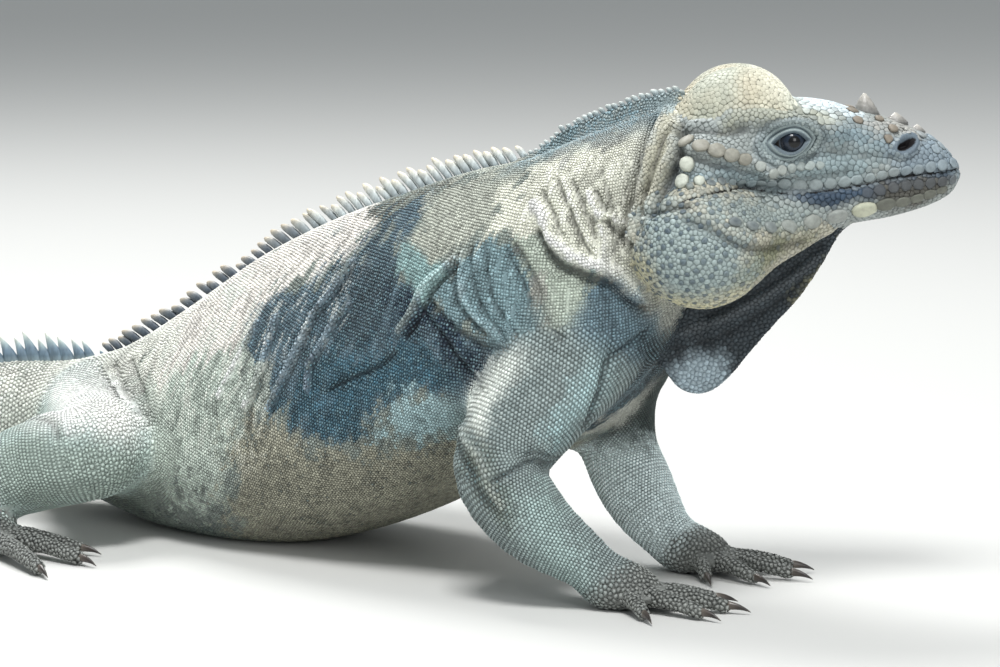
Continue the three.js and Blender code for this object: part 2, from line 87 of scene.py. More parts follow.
# x, top, bottom, half width
UPPER_HEAD = np.array(
    [(175.3, 165.2, 164.2, 0.9), (174, 166.5, 163.1, 4.6), (171, 171.5, 163.2, 8),
     (165.5, 175.9, 163.4, 11.4), (157, 180.2, 162.8, 14.8), (146, 184.4, 160.9, 17.6),
     (135, 187.2, 158.9, 20.2), (125, 190.2, 157.4, 22.6), (113, 191.3, 156.8, 25.4),
     (99, 190, 158.6, 29.4), (84, 189, 159.2, 34), (72, 186, 155.6, 35.5), (62, 181.5, 151.4, 32),
     (53, 175, 152, 24)],
    float,
)
LOWER_JAW = np.array(
    [(176, 161.5, 160.5, 0.9), (174.8, 164.5, 157, 4.8), (171.5, 165, 153.2, 8.6), (163, 165, 149, 12.8),
     (149, 163, 145, 16.9), (134, 161, 142.4, 20.2), (117, 160, 138.4, 24), (99, 160, 133.2, 28.8),
     (81, 160, 128.8, 32.8), (66, 157, 129, 31.5), (58, 154, 133, 27)],
    float,
)
BROW_RADIUS, SOCKET_RADIUS = 3.6, 8.5
BROW = [(87, 25, 185.5), (97, 25.6, 185.4), (108, 25.5, 184.6), (118, 23.4, 182.4), (128, 20.5, 179.4)]
CROWN_PAD = dict(centre=(91, 9.5, 184.5), radii=(22.3, 17.5, 19.4))
JOWL = dict(centre=(75, 30, 138), radii=(25.5, 21, 24.5))
JOWL_ROOT = [(79, 27, 136, 18), (102, 21, 140.5, 12), (121, 12, 145, 7)]
DEWLAP = [(132, 142), (124, 127), (115, 113.5), (105, 102.5), (96, 92), (89.5, 84), (83, 78.3), (76.5, 76.2)]
DEWLAP += [(70, 77.8), (65, 82.5), (61.5, 90), (59.5, 100), (57, 112), (56, 128), (80, 150)]
DEWLAP_THICK = 5
# x, y, z, radius down each limb, then the palm or sole: x, y, z, half sizes, heading in degrees
LIMBS = {
    "arm_right": dict(
        path=[(40, 3, 112, 26), (17, -13, 80, 22.5), (0, -22.5, 53, 18.3)]
        + [(11, -30, 33, 16), (31, -36, 18.5, 11.3), (41, -37.5, 11, 9)],
        palm=(46, -38, 8.4, 15, 12.5, 9.6, -12),
    ),
    "arm_left": dict(
        path=[(58, 42, 106, 24), (47, 54, 76, 18), (47, 60, 49.5, 15.8)]
        + [(54.5, 53, 31, 15.5), (64, 44, 17, 12), (72, 39.5, 11, 9)],
        palm=(77, 37, 8.2, 15, 12.5, 9.6, -30),
    ),
    "leg_right": dict(
        path=[(-170, 163, 41, 24.5), (-168, 128, 38.5, 22.5), (-166, 96, 39, 20.3)]
        + [(-194, 98, 31, 18.6), (-222, 106, 14, 12), (-217, 97, 9.5, 9)],
        palm=(-212, 90, 8, 18, 12.5, 9.4, -42),
    ),
    "leg_left": dict(
        path=[(-150, 194, 41, 24.5), (-118, 208, 38.5, 22.5), (-86, 224, 38.5, 20.3)]
        + [(-103, 243, 31, 18.6), (-126, 260, 14, 12), (-117, 260, 9.5, 9)],
        palm=(-109, 259, 8, 18, 12.5, 9.4, 14),
    ),
}
# angle from the heading, length, radius, start
FINGERS = [(-62, 22, 3.6, 5), (-28, 29, 3.8, 8), (-4, 31, 3.8, 9), (22, 27, 3.7, 8), (52, 19, 3.5, 6)]
TOES = [(-58, 32, 3.6, 3), (-22, 58, 4.1, 11), (0, 47, 4, 12), (20, 34, 3.8, 11), (44, 22, 3.6, 8)]


def smooth(stations, at):
    """Places on an even curve that meets every station; at counts in stations."""
    stations, at = np.asarray(stations, float), np.asarray(at, float)
    last = len(stations) - 1
    i = np.clip(at.astype(int), 0, last - 1)
    t = (at - i)[:, None]
    a, b, c, d = (stations[np.clip(i + k, 0, last)] for k in (-1, 0, 1, 2))
    bend, twist = 2 * a - 5 * b + 4 * c - d, 3 * b - a - 3 * c + d
    return b + 0.5 * t * (c - a + t * (bend + t * twist))


def corner(v, power):
    return np.sign(v) * np.abs(v) ** power


def clamp(v):
    return np.clip(v, 0, 1)


def bell(v, at, wide):
    return np.exp(-(((v - at) / wide) ** 2))


def unit(v):
    return v / np.maximum(np.linalg.norm(v, axis=-1, keepdims=True), 1e-6)


def run_along(line):
    """How far along a line each of its points is."""
    return np.concatenate([[0], np.cumsum(np.linalg.norm(np.diff(line, axis=0), axis=1))])


def one_side(points):
    """The same places on the left of the head's middle plane."""
    return points * np.array([1, 0, 1]) + np.abs(points) * np.array([0, 1, 0])


def nearest(points, line):
    """Which of a line's points each place is nearest to."""
    cuts = np.array_split(points, len(points) // 4000 + 1)
    return np.concatenate([((c[:, None] - line) ** 2).sum(-1).argmin(1) for c in cuts])


def loft(rings):
    """A closed mesh through rings of equal count: points, quads and the end fans' triangles."""
    n, m = rings.shape[:2]
    ends = np.stack([rings[0].mean(0), rings[-1].mean(0)])
    points = np.concatenate([rings.reshape(-1, 3), ends]).astype(np.float32)
    j = np.arange(m)
    k, row = (j + 1) % m, np.arange(n - 1)[:, None] * m
    quads = np.stack([row + j, row + k, row + m + k, row + m + j], -1).reshape(-1, 4)
    last = (n - 1) * m
    fans = [np.stack([k, j, np.full(m, n * m)], -1)]
    fans += [np.stack([last + j, last + k, np.full(m, n * m + 1)], -1)]
    return points, quads.astype(np.uint32), np.concatenate(fans).astype(np.uint32)


TURN = np.linspace(0, 2 * math.pi, 96, endpoint=False)
SPINE_STEPS = 32  # places on the spine's line between two stations
spine_at = np.linspace(0, len(SPINE) - 1, (len(SPINE) - 1) * SPINE_STEPS + 1)
spine_line = smooth(SPINE, spine_at)
heading = unit(-np.gradient(spine_line[:, :2], axis=0))
spine_right = np.stack([heading[:, 1], -heading[:, 0]], -1)
spine_run = run_along(spine_line[:, :2])
NAPE = (30, 138)  # the first and last of those places with the fold of the nape
NAPE_TALL, NAPE_THICK = 7, 8


def body_rings(low, high):
    """The rings of the neck, trunk and tail that reach into a box."""
    x = spine_line[::4, 0]
    near = (x > low[0] - 90) & (x < high[0] + 90)
    line, right = spine_line[::4][near], spine_right[::4][near]
    c, s = np.cos(TURN), np.sin(TURN)
    out = line[:, 4:5] * corner(c, np.where(s > 0, 0.95, 0.82))
    over, under = line[:, 2:3] - line[:, 5:6], line[:, 5:6] - line[:, 3:4]
    up = np.where(s > 0, over, under) * corner(s, np.where(s > 0, 1.02, 0.8))
    flat = line[:, None, :2] + right[:, None] * out[..., None]
    return np.concatenate([flat, (line[:, 5:6] + up)[..., None]], -1)


def head_rings(stations, share, mouth_up):
    """The lip's side of a head ring is squarer than the other, so that the mouth's edge is a lip."""
    at = np.concatenate([np.linspace(0, 2, 17)[:-1], np.arange(2, len(stations) - 0.99, 0.2)])
    line = smooth(stations, at)
    c, s = np.cos(TURN), np.sin(TURN)
    lip = (s > 0) == mouth_up
    level = line[:, 2:3] + share * (line[:, 1:2] - line[:, 2:3])
    out = line[:, 3:4] * corner(c, np.where(lip, 0.5, 0.8))
    up = np.where(s > 0, line[:, 1:2] - level, level - line[:, 2:3]) * corner(s, np.where(lip, 0.6, 0.9))
    return np.stack([np.repeat(line[:, :1], len(TURN), 1), out, level + up], -1)


def depth_in(mesh, low, step, shape, band):
    """Heights above a closed mesh at each cell of a space, true up to the band."""
    points, quads, fans = mesh
    line_up = openvdb.createLinearTransform(step)
    grid = openvdb.FloatGrid.createLevelSetFromPolygons(
        (points - low).astype(np.float32), fans, quads, line_up, band / step
    )
    made = np.full(shape, band, np.float32)
    grid.copyToArray(made)
    return made


def join(a, b, fillet):
    """Two fleshes run together, with a fillet of about that size."""
    h = np.maximum(fillet - np.abs(a - b), 0) / fillet
    return np.minimum(a, b) - h * h * fillet * 0.25


def rope(path, points, steps=20):
    """Heights above a rounded rope through x, y, z, radius stations."""
    line = smooth(path, np.linspace(0, len(path) - 1, steps + 1))
    best = np.full(points.shape[:-1], 1e3, np.float32)
    for a, b in zip(line[:-1], line[1:]):
        along = (b - a)[:3]
        t = clamp(((points - a[:3]) @ along) / max(along @ along, 1e-9))
        off = np.linalg.norm(points - a[:3] - t[..., None] * along, axis=-1)
        best = np.minimum(best, off - a[3] - t * (b[3] - a[3]))
    return best


def pebble(centre, radii, points, turn=0.0):
    """Heights above an ellipsoid, its long side turned in plan."""
    d = points - np.asarray(centre, float)
    c, s = math.cos(turn), math.sin(turn)
    d = np.stack([d[..., 0] * c + d[..., 1] * s, d[..., 1] * c - d[..., 0] * s, d[..., 2]], -1)
    r = np.asarray(radii, float)
    k, k2 = np.linalg.norm(d / r, axis=-1), np.linalg.norm(d / r**2, axis=-1)
    return k * (k - 1) / np.maximum(k2, 1e-6)


def outside_of(outline, x, z):
    """Distance outside a closed outline seen from the side, minus inside it."""
    best, inside = np.full(x.shape, 1e9), np.zeros(x.shape, bool)
    for (ax, az), (bx, bz) in zip(outline, np.roll(outline, -1, axis=0)):
        ex, ez = bx - ax, bz - az
        t = clamp(((x - ax) * ex + (z - az) * ez) / (ex * ex + ez * ez))
        best = np.minimum(best, np.hypot(x - ax - t * ex, z - az - t * ez))
        over = (az > z) != (bz > z)
        inside ^= over & (x < ax + (z - az) * ex / (ez if abs(ez) > 1e-9 else 1e-9))
    return np.where(inside, -best, best)


def slab(outline, thick, rounding, points):
    """Heights above an upright flap of even thickness in the plane Y = 0."""
    edge = outside_of(outline, points[..., 0], points[..., 2]) + rounding
    side = np.abs(points[..., 1]) - thick / 2 + rounding
    out = np.hypot(np.maximum(edge, 0), np.maximum(side, 0))
    return out + np.minimum(np.maximum(edge, side), 0) - rounding


def nape_ridge(points):
    """Heights above the upright fold of skin along the nape, under its row of beads."""
    line = spine_line[NAPE[0] : NAPE[1]]
    flat = points.reshape(-1, 3)
    near = nearest(flat[:, :2], line[:, :2])
    off = flat[:, :2] - line[near, :2]
    across = np.abs((off * spine_right[NAPE[0] : NAPE[1]][near]).sum(1))
    beyond = np.abs((off * heading[NAPE[0] : NAPE[1]][near]).sum(1))
    share = near / len(line)
    tall = NAPE_TALL * np.clip(np.minimum((1 - share) / 0.22, 0.45 + share / 0.1), 0.1, 1)
    over = flat[:, 2] - line[near, 2]
    wide = NAPE_THICK / 2 * (1 - 0.5 * clamp(over / tall))
    out = np.maximum(np.maximum(across - wide, over - tall), beyond - 1)
    return out.reshape(points.shape[:-1])


def digit_paths(limb):
    """The x, y, z, radius stations of a hand's or foot's five digits."""
    x, y, z, _, _, _, turn = LIMBS[limb]["palm"]
    mirror = 1 if limb.endswith("right") else -1
    for angle, length, r, start in FINGERS if limb.startswith("arm") else TOES:
        a = math.radians(turn + mirror * angle)
        c, s = math.cos(a), math.sin(a)
        out = [(start, z * 0.7, r * 1.25), (start + length * 0.55, r * 1.5, r)]
        out += [(start + length, r * 0.8, 0.82 * r)]
        yield np.array([(x + c * far, y + s * far, height, girth) for far, height, girth in out])


class Space:
    """A box of cells with the height above the skin in each."""

    def __init__(self, low, high, step):
        self.low, self.step = np.array(low, float), step
        self.shape = tuple(int(round((b - a) / step)) + 1 for a, b in zip(low, high))
        self.fill, self.owner = None, np.zeros(self.shape, np.uint8)

    def part(self, low, high):
        """The slices and the points of the cells in a smaller box."""
        i = [max(0, int((a - o) / self.step)) for a, o in zip(low, self.low)]
        j = [min(n, int((b - o) / self.step) + 2) for b, o, n in zip(high, self.low, self.shape)]
        cut = tuple(slice(a, max(a, b)) for a, b in zip(i, j))
        axes = [o + self.step * np.arange(c.start, c.stop) for o, c in zip(self.low, cut)]
        return cut, np.stack(np.meshgrid(*axes, indexing="ij"), -1)

    def add(self, low, high, height, fillet, owner):
        cut, points = self.part(low, high)
        if points.size:
            new = height(points)
            self.owner[cut][new < self.fill[cut] + 0.01] = owner
            self.fill[cut] = join(self.fill[cut], new, fillet)

    def owned_by(self, points):
        cell = np.clip(np.rint((points - self.low) / self.step), 0, np.array(self.shape) - 1).astype(int)
        return self.owner[tuple(cell.T)]

    def read(self, points):
        """The height at any points, between the cells."""
        q = np.clip((points - self.low) / self.step, 0, np.array(self.shape) - 1.001)
        i = q.astype(int)
        f = q - i
        made = 0
        for k in range(8):
            o = np.array([k & 1, k >> 1 & 1, k >> 2])
            w = np.prod(np.where(o, f, 1 - f), axis=-1)
            a, b, c = np.moveaxis(i + o, -1, 0)
            made = made + w * self.fill[a, b, c]
        return made

    def slope(self, points):
        e = np.eye(3) * self.step * 0.6
        g = np.stack([self.read(points + d) - self.read(points - d) for d in e], -1)
        return unit(g)

    def settle(self, points, rounds=4):
        """The points moved straight onto the skin."""
        for _ in range(rounds):
            points = points - self.slope(points) * self.read(points)[..., None]
        return points


# whose flesh a place on the skin is
TRUNK, NECK, TAIL, LIMB, PAW, FACE, CROWN, JOWLS, THROAT = 0, 1, 2, 3, 7, 8, 9, 10, 11


def flesh(low, high, step):
    """The animal's flesh in a box of cells, without its creases."""
    s = Space(low, high, step)
    band = 13  # heights farther out than this aren't needed
    s.fill = depth_in(loft(body_rings(low, high)), s.low, step, s.shape, band)
    if high[0] > 60:
        cut, points = s.part((45, -48, 120), (182, 48, 210))
        halves = (head_rings(UPPER_HEAD, 0.36, False), head_rings(LOWER_JAW, 0.64, True))
        upper, jaw = (depth_in(loft(h), points[0, 0, 0], step, points.shape[:3], band) for h in halves)
        skull = join(upper, jaw, 2.5)
        both = one_side(points)
        skull = join(skull, rope([(*p, BROW_RADIUS) for p in BROW], both, 12), 5)
        crown = pebble(points=both, **CROWN_PAD)
        s.owner[cut][skull < s.fill[cut]] = FACE
        s.owner[cut][crown < np.minimum(skull, s.fill[cut])] = CROWN
        skull = join(skull, crown, 2.5)
        skull = join(skull, np.linalg.norm(both - EYE, axis=-1) - SOCKET_RADIUS, 2.5)
        s.fill[cut] = join(s.fill[cut], skull, 12)

        def jowl(points):
            q = one_side(points)
            return join(pebble(points=q, **JOWL), rope(JOWL_ROOT, q, 12), 10)

        s.add((40, -60, 100), (140, 60, 170), jowl, 5, JOWLS)
        hem = smooth(DEWLAP, np.linspace(0, len(DEWLAP) - 1, 60))
        s.add((45, -12, 70), (140, 12, 160), lambda p: slab(hem, DEWLAP_THICK, 2, p), 6, THROAT)
    s.add((-2, -14, 150), (84, 52, 200), nape_ridge, 3, TRUNK)
    for k, (name, limb) in enumerate(LIMBS.items()):
        path = np.array(limb["path"], float)
        reach = path[:, 3].max() + 6
        s.add(path[:, :3].min(0) - reach, path[:, :3].max(0) + reach, lambda p: rope(path, p), 12, LIMB + k)
        x, y, z, *radii, turn = limb["palm"]
        pad = lambda p: pebble((x, y, z), radii, p, math.radians(turn))
        s.add((x - 24, y - 24, -6), (x + 24, y + 24, 26), pad, 7, PAW)
        for d in digit_paths(name):
            s.add(d[:, :3].min(0) - 9, d[:, :3].max(0) + 9, lambda p: rope(d, p, 8), 2.5, PAW)
    cut, points = s.part(s.low, (1e3, 1e3, 6))
    s.fill[cut] = np.maximum(s.fill[cut], OVER_FLOOR - COAT - points[..., 2])
    s.fill += COAT
    return s


# ---- Skin --------------------------------------------------------------------
# An iguana's skin is loose: it hangs in folds behind the jaw and the shoulder, and wrinkles
# where the legs bend it. It is one closed sheet over the flesh, with the lids, lips and
# nostrils in it, and its net is finest there.

# Folds and ridges: a line over the right side, then height (minus is a groove) and width.
# The neck's and trunk's are laid again on the left side of the backbone, the head's beyond Y = 0.
BODY_FOLDS = [
    ([(12, -14, 152), (16, -17, 147), (17, -21, 140), (23, -25, 135), (30, -28, 131), (38, -29, 129),
      (42, -29, 127), (48, -28, 121), (54, -26, 116)], 3.2, 2.3),
    ([(15, -19, 141), (21, -25, 131), (31, -28, 126.5), (37, -29, 124), (43, -29, 122), (48, -28, 116.5),
      (56, -25, 112)], -3.6, 1.9),
    ([(37, -26, 149), (42, -28, 148), (46, -29, 145), (50, -31, 141)], 1.9, 1.2),
    ([(36, -26, 146.5), (41, -28, 145), (46, -29, 141.5), (50, -31, 138)], -2.2, 1.2),
    ([(33, -22, 157), (37, -26, 148), (39, -28, 140), (40, -29, 130)], 2.2, 1.4),
    ([(36, -22, 157), (40, -26, 149), (42.5, -28, 142), (43.5, -29, 136), (44, -29, 130)], -2.0, 1.3),
    ([(16, -11, 156), (20, -19, 148), (23, -23, 141)], -1.8, 1.3),
    ([(21, -10, 161), (25, -20, 152), (30, -26, 141), (34, -28, 134)], -1.9, 1.2),
    ([(24, -10, 161), (28, -21, 151), (32, -26, 141), (35.5, -28, 135)], 1.3, 1.2),
    ([(27, -15, 161), (31, -23, 152), (35, -27, 142)], -1.6, 1.2),
    ([(38, -18, 165), (40, -23, 158), (42, -27, 150)], -1.3, 1.2),
    ([(46, -21, 167), (48, -26, 158), (49, -28, 149)], -1.3, 1.2),
    ([(5, -15, 136), (9, -20, 130), (14, -24, 120), (17, -27, 109), (23, -30, 102)], -1.8, 1.8),
    ([(38, -29, 117), (42, -28, 105), (42, -27, 96), (40, -27, 91)], -1.4, 2.0),
    ([(-17, 0, 129), (-21, 2, 125), (-29, 6, 118), (-34, 7, 108), (-39, 10, 100)], 2.4, 1.5),
    ([(-15, 0, 126), (-20, 2, 121), (-26, 5, 114), (-31, 6, 104), (-36, 9, 97)], -2.4, 1.3),
    ([(-31, 4, 109), (-23, -3, 100), (-15, -8, 90), (-8, -20, 81)], -1.5, 1.6),
    ([(-28, 3, 113), (-19, -6, 104), (-8, -14, 97), (2, -22, 97)], -1.5, 1.5),
    ([(-11, -3, 133), (-11, -9, 122), (-7, -13, 111), (2, -21, 100)], -1.4, 1.3),
    ([(-6, -7, 135), (-5, -12, 124), (-2, -16, 113), (6, -23, 102)], -1.2, 1.2),
    ([(2, -14, 134), (8, -20, 123), (11, -23, 114), (11, -25, 105)], -1.4, 1.3),
    ([(-16, 0, 130), (-18, -3, 119), (-15, -8, 110), (-6, -15, 102)], -1.3, 1.2),
    ([(-14, -1, 131), (-15, -5, 120), (-11, -10, 110), (-2, -18, 101)], 1.3, 1.2),
    ([(-58, 41, 123), (-65, 40, 113), (-73, 43, 103), (-79, 44, 92), (-85, 46, 79),
      (-92, 51, 63)], 2.2, 0.85),
    ([(-56, 40, 121), (-63, 39, 111), (-71, 42, 101), (-77, 43, 90), (-83, 45, 77),
      (-90, 50, 62)], -1.2, 1.0),
    ([(-59, 31, 108), (-65, 33, 101), (-72, 36, 89), (-76, 38, 81), (-76, 38, 73)], 2.1, 0.85),
    ([(-57, 31, 106), (-63, 33, 99), (-70, 36, 87), (-74, 37, 80), (-74, 37, 73)], -1.2, 1.0),
    ([(-89, 58, 99), (-92, 57, 90), (-96, 56, 77), (-102, 59, 63)], 2.2, 1.1),
    ([(-87, 57, 97), (-90, 56, 88), (-94, 56, 75), (-100, 58, 62)], -1.0, 1.0),
    ([(-97, 65, 96), (-104, 66, 83), (-113, 70, 65)], 2.0, 1.1),
    ([(-41, 11, 91), (-47, 15, 85), (-59, 24, 79), (-67, 30, 74)], -1.9, 1.2),
    ([(-168, 152, 64), (-163, 132, 57), (-160, 113, 51)], -2.0, 1.8),
    ([(-161, 149, 67), (-155, 126, 58), (-151, 105, 48)], -2.0, 1.8),
    ([(-154, 141, 70), (-147, 115, 61), (-142, 101, 49)], -1.8, 1.8),
]
# on the limbs: the thigh's roll over the calf, then the arm's elbow and its fold against the breast
LIMB_FOLDS = [
    ([(-199, 104, 51), (-192, 98, 52), (-186, 92, 53), (-181, 86, 51), (-178, 81, 46)], -1.4, 1.9),
    ([(-199, 108, 54), (-191, 101, 56), (-183, 93, 57), (-177, 86, 54), (-174, 80, 49)], 0.9, 2.3),
    ([(23, -22, 52), (18, -30, 54), (13, -37, 56), (8, -41, 55), (2, -43, 52), (-4, -41, 49)], -1.5, 1.2),
    ([(23, -22, 55), (19, -30, 57), (15, -36, 59), (11, -40, 59)], -1.0, 0.9),
    ([(-17, -24, 68), (-14, -32, 63), (-9, -38, 58), (-6, -41, 52), (-4, -43, 46), (0, -46, 40)], 1.3, 1.8),
    ([(-18, -26, 60), (-16, -32, 57), (-12, -37, 52), (-10, -39, 46), (-6, -43, 40)], -1.2, 2.0),
    ([(58, -22, 103), (52, -26, 99), (45, -30, 93), (42, -30, 86), (41, -28, 79), (38, -26, 72),
      (34, -22, 66)], -2.0, 1.9),
]
# Fields of fine wrinkles: outline from the side, soft edge, their slant, spacing, length, height
WRINKLES = [
    ([(8, 160), (35, 172), (55, 176), (57, 150), (50, 132), (34, 132), (20, 138),
      (6, 142)], 8, 0.25, 2.6, 16, 1.5),
    ([(-24, 123), (-7, 137), (5, 133), (15, 118), (17, 111), (6, 100), (-4, 97), (-17, 106),
      (-27, 114)], 8, 0.2, 2.2, 26, 0.8),
    ([(-34, 110), (-10, 98), (2, 92), (-8, 78), (-30, 84)], 8, -0.8, 2.8, 22, 0.7),
    ([(12, 136), (26, 133), (38, 122), (34, 110), (18, 110)], 6, 0.05, 4.0, 16, 0.7),
    ([(-130, 90), (-60, 130), (-35, 130), (-40, 80), (-80, 56), (-110, 40),
      (-140, 50)], 16, 0.45, 3.4, 34, 0.5),
    ([(57, 116), (70, 112), (84, 118), (84, 100), (66, 82), (60, 100)], 6, 0.2, 4, 20, 0.5),
]
FLANK = 4  # the field of wrinkles that is fainter on the left
HEAD_FOLDS = [
    ([(64, -6, 186), (61, -15, 182), (57, -23, 175), (55, -27, 167), (53, -28, 160), (51, -30, 149),
      (50, -31, 141)], 2.6, 2.2),
    ([(60, -6, 186), (57, -15, 181), (53, -23, 174), (51, -27, 166), (49, -28, 159), (47, -30, 148),
      (46.5, -31, 140)], -3.0, 1.9),
    ([(66, -21, 181), (64, -30, 173), (60, -31, 164), (57, -32, 156), (54, -36, 148)], 2.4, 1.7),
    ([(69, -21, 181), (67.5, -31, 173), (64, -32, 164), (61, -34, 156), (57, -38, 150)], -3.2, 1.9),
    ([(62, -22, 178), (58, -28, 170), (55, -29, 158), (53, -31, 150)], -2.0, 1.4),
    ([(64, -20, 180), (69, -23, 182.4), (74, -23.5, 183), (81, -26, 183.6)], 1.5, 1.3),
    ([(66, -22, 178), (70, -25, 179.4), (76, -27, 180), (84, -30, 180.5), (92, -30, 181)], -1.7, 1.9),
    ([(66, -28, 176.5), (71, -32, 175), (75, -33, 174), (79, -34, 173), (84, -33, 172), (89, -32, 171),
      (95, -30, 169), (99, -29, 166), (102, -26, 163)], 1.9, 2.0),
    ([(66, -31, 172.5), (75, -35, 170), (83, -34, 167.5), (90, -32, 165), (97, -28, 162.5),
      (104, -24, 161.5)], -1.4, 1.3),
    ([(98, -29, 166.5), (104, -27, 165.6), (110, -26, 166), (116, -24, 167), (122, -23, 167.5)], 1.2, 1.7),
    ([(104, -24, 162.4), (112, -22, 162.9), (122, -20, 163.8), (132, -18, 165)], -1.0, 1.2),
    ([(74, -38, 163.5), (82, -34, 165), (90, -30, 164.5), (97, -27, 163)], 0.8, 1.2),
    ([(76, -41, 157.5), (84, -38, 158), (92, -33, 157.5), (100, -29, 156)], -0.7, 0.9),
    ([(113, -25, 170.5), (122, -23, 171), (130, -21, 171.5), (140, -18, 170), (148, -16, 169)], -0.8, 1.8),
    ([(53, -32, 149), (58, -40, 151), (64, -43, 153), (70, -45, 154)], -2.0, 1.7),
    ([(70, -46, 148), (80, -46, 143), (90, -43, 138), (103, -33, 137), (115, -24, 137.5)], -1.6, 2.2),
    ([(80, -2.5, 107), (88, -2.5, 111), (94, -2.5, 114), (102, -2.5, 118), (109, -2.5, 123),
      (116, -2.5, 128), (123, -2.5, 134)], -1.2, 1.6),
    ([(70, -2.5, 101), (84, -2.5, 106), (94, -2.5, 111), (104, -2.5, 117), (113, -2.5, 123),
      (121, -2.5, 130)], 1.3, 2.2),
    ([(68, -2.5, 94), (84, -2.5, 99), (95, -2.5, 105), (106, -2.5, 112), (116, -2.5, 121)], -1.0, 1.3),
]
MOUTH = np.array(
    [(176, 164), (167, 163), (160, 163), (152, 162), (144, 160.2), (129, 158), (113, 156), (106, 156.8),
     (98, 158), (90, 159), (82, 159), (71, 156.4), (66, 154.6)],
    float,
)
NOSTRIL = np.array((154, 14, 174))


body = flesh((-712, -84, -7), (185, 316, 212), 1.5)
face = flesh((60, -54, 118), (182, 54, 210), 0.9)


def on_flesh(points, what):
    """Calls what(space, points) on the finer face cells where they reach, and the body's elsewhere."""
    top = face.low + face.step * (np.array(face.shape) - 1)
    inner = ((points > face.low + 2) & (points < top - 2)).all(1)
    out = np.zeros_like(points, float)
    for space, these in ((face, inner), (body, ~inner)):
        if these.any():
            out[these] = what(space, points[these])
    return out


def settle(points, rounds=4):
    return on_flesh(np.asarray(points, float), lambda s, p: s.settle(p, rounds))


def upright(points):
    return on_flesh(points, lambda s, p: s.slope(p))


def over_the_back(points):
    """Where the same places are on the other side of the backbone."""
    points = np.array(points, float)
    near = nearest(points[:, :2], spine_line[::8, :2]) * 8
    right = spine_right[near]
    across = ((points[:, :2] - spine_line[near, :2]) * right).sum(1)
    points[:, :2] -= 2 * across[:, None] * right
    return points


folds = list(LIMB_FOLDS)
for line, height, width in BODY_FOLDS:
    folds += [(line, height, width), (over_the_back(line), height * 0.8, width)]
for line, height, width in HEAD_FOLDS:
    folds += [(line, height, width), (np.array(line) * (1, -1, 1), height, width)]
folds = [(np.c_[settle(line), np.zeros(len(line))], height, width) for line, height, width in folds]


def lid_gap(points):
    """Distance outside the open eye's almond, seen from the side."""
    dx, dz = points[:, 0] - EYE[0], points[:, 2] - EYE[2]
    upper = 3.6 * (1 - np.where(dx < 0, dx / 7.4, dx / 6.2) ** 2) + 0.12 * dx
    lower = 3.7 * (1 - np.where(dx < 0, dx / 6.6, dx / 5.9) ** 2) - 0.08 * dx
    steep = np.sqrt(1 + (0.13 * dx) ** 2)
    return np.maximum(dz - upper, -lower - dz) / steep


def lid_ring(points):
    """Distance from the eye's middle, drawn out lengthwise and pointed as the lids are."""
    dx, dz = points[:, 0] - EYE[0], points[:, 2] - EYE[2]
    oval = np.hypot(np.where(dx < 0, dx / 1.6, dx / 1.35), dz - 0.1 * dx)
    return 0.4 * oval + 0.6 * (lid_gap(points) + 3.6)


def lip_height(points):
    return points[:, 2] - np.interp(points[:, 0], MOUTH[::-1, 0], MOUTH[::-1, 1])


def mottle(points, size, seed=0):
    """Soft blotches of one size, 0 to 1."""
    q = points / size + 7.31 * seed
    i = np.floor(q).astype(np.int64)
    f = q - i
    f = f * f * (3 - 2 * f)
    made = 0
    for k in range(8):
        o = np.array([k & 1, k >> 1 & 1, k >> 2])
        h = ((i + o) * (73856093, 19349663, 83492791)).sum(1) + seed * 15485863
        h = ((h ^ (h >> 13)) * 1274126177) & 0x7FFFFFFF
        h = ((h ^ (h >> 15)) * 668265263) & 0x7FFFFFFF
        made = made + np.prod(np.where(o, f, 1 - f), axis=1) * (h / 0x7FFFFFFF)
    return made


def nostril(points):
    """Distances from the nose hole, slanting up to the front: 1 at its swollen ring, 1 at its pit."""
    dx, dz = points[:, 0] - NOSTRIL[0], points[:, 2] - NOSTRIL[2]
    a, b = 0.91 * dx + 0.41 * dz, 0.91 * dz - 0.41 * dx
    return np.hypot(a / 5.4, b / 3.8), np.hypot(a / 3.5, b / 1.5)


def creases(points):
    """How far folds and wrinkles raise the skin over the plain flesh."""
    out = np.zeros(len(points))
    near = np.flatnonzero((points[:, 0] > -150) & (points[:, 0] < 90) & (points[:, 2] > 25))
    q = points[near]
    left = ((q[:, :2] - (36, 17.5)) * (0.55, 0.83)).sum(1) > 0
    for k, (outline, soft, slant, spacing, length, height) in enumerate(WRINKLES):
        much = clamp(0.5 - outside_of(np.array(outline, float), q[:, 0], q[:, 2]) / soft)
        if k == FLANK:
            much = np.where(left, much * 0.5, much)
        bent = q[:, 0] + slant * (130 - q[:, 2]) + 2.2 * mottle(q, 11, 31 + k)
        drawn = np.stack([bent / spacing, q[:, 1] / (3 * spacing), q[:, 2] / length], -1)
        strand = mottle(drawn, 1.0, 41 + k)
        out[near] += much * height * (np.abs(2 * strand - 1) * 1.6 - 0.75)
    for line, height, width in folds:
        reach = 3 * width
        near = ((points > line[:, :3].min(0) - reach) & (points < line[:, :3].max(0) + reach)).all(1)
        if near.any():
            off = rope(line, points[near], 5 * (len(line) - 1))
            out[near] += height * bell(off, 0, width)
    return out


# distance from the eye, height and width of each fold of the lids
LID_FOLDS = [(4.9, 0.35, 0.45), (5.7, -0.7, 0.35), (6.5, 0.3, 0.4), (7.3, -0.6, 0.35)]
LID_FOLDS += [(8.4, 0.5, 0.7), (9.9, -0.9, 1)]


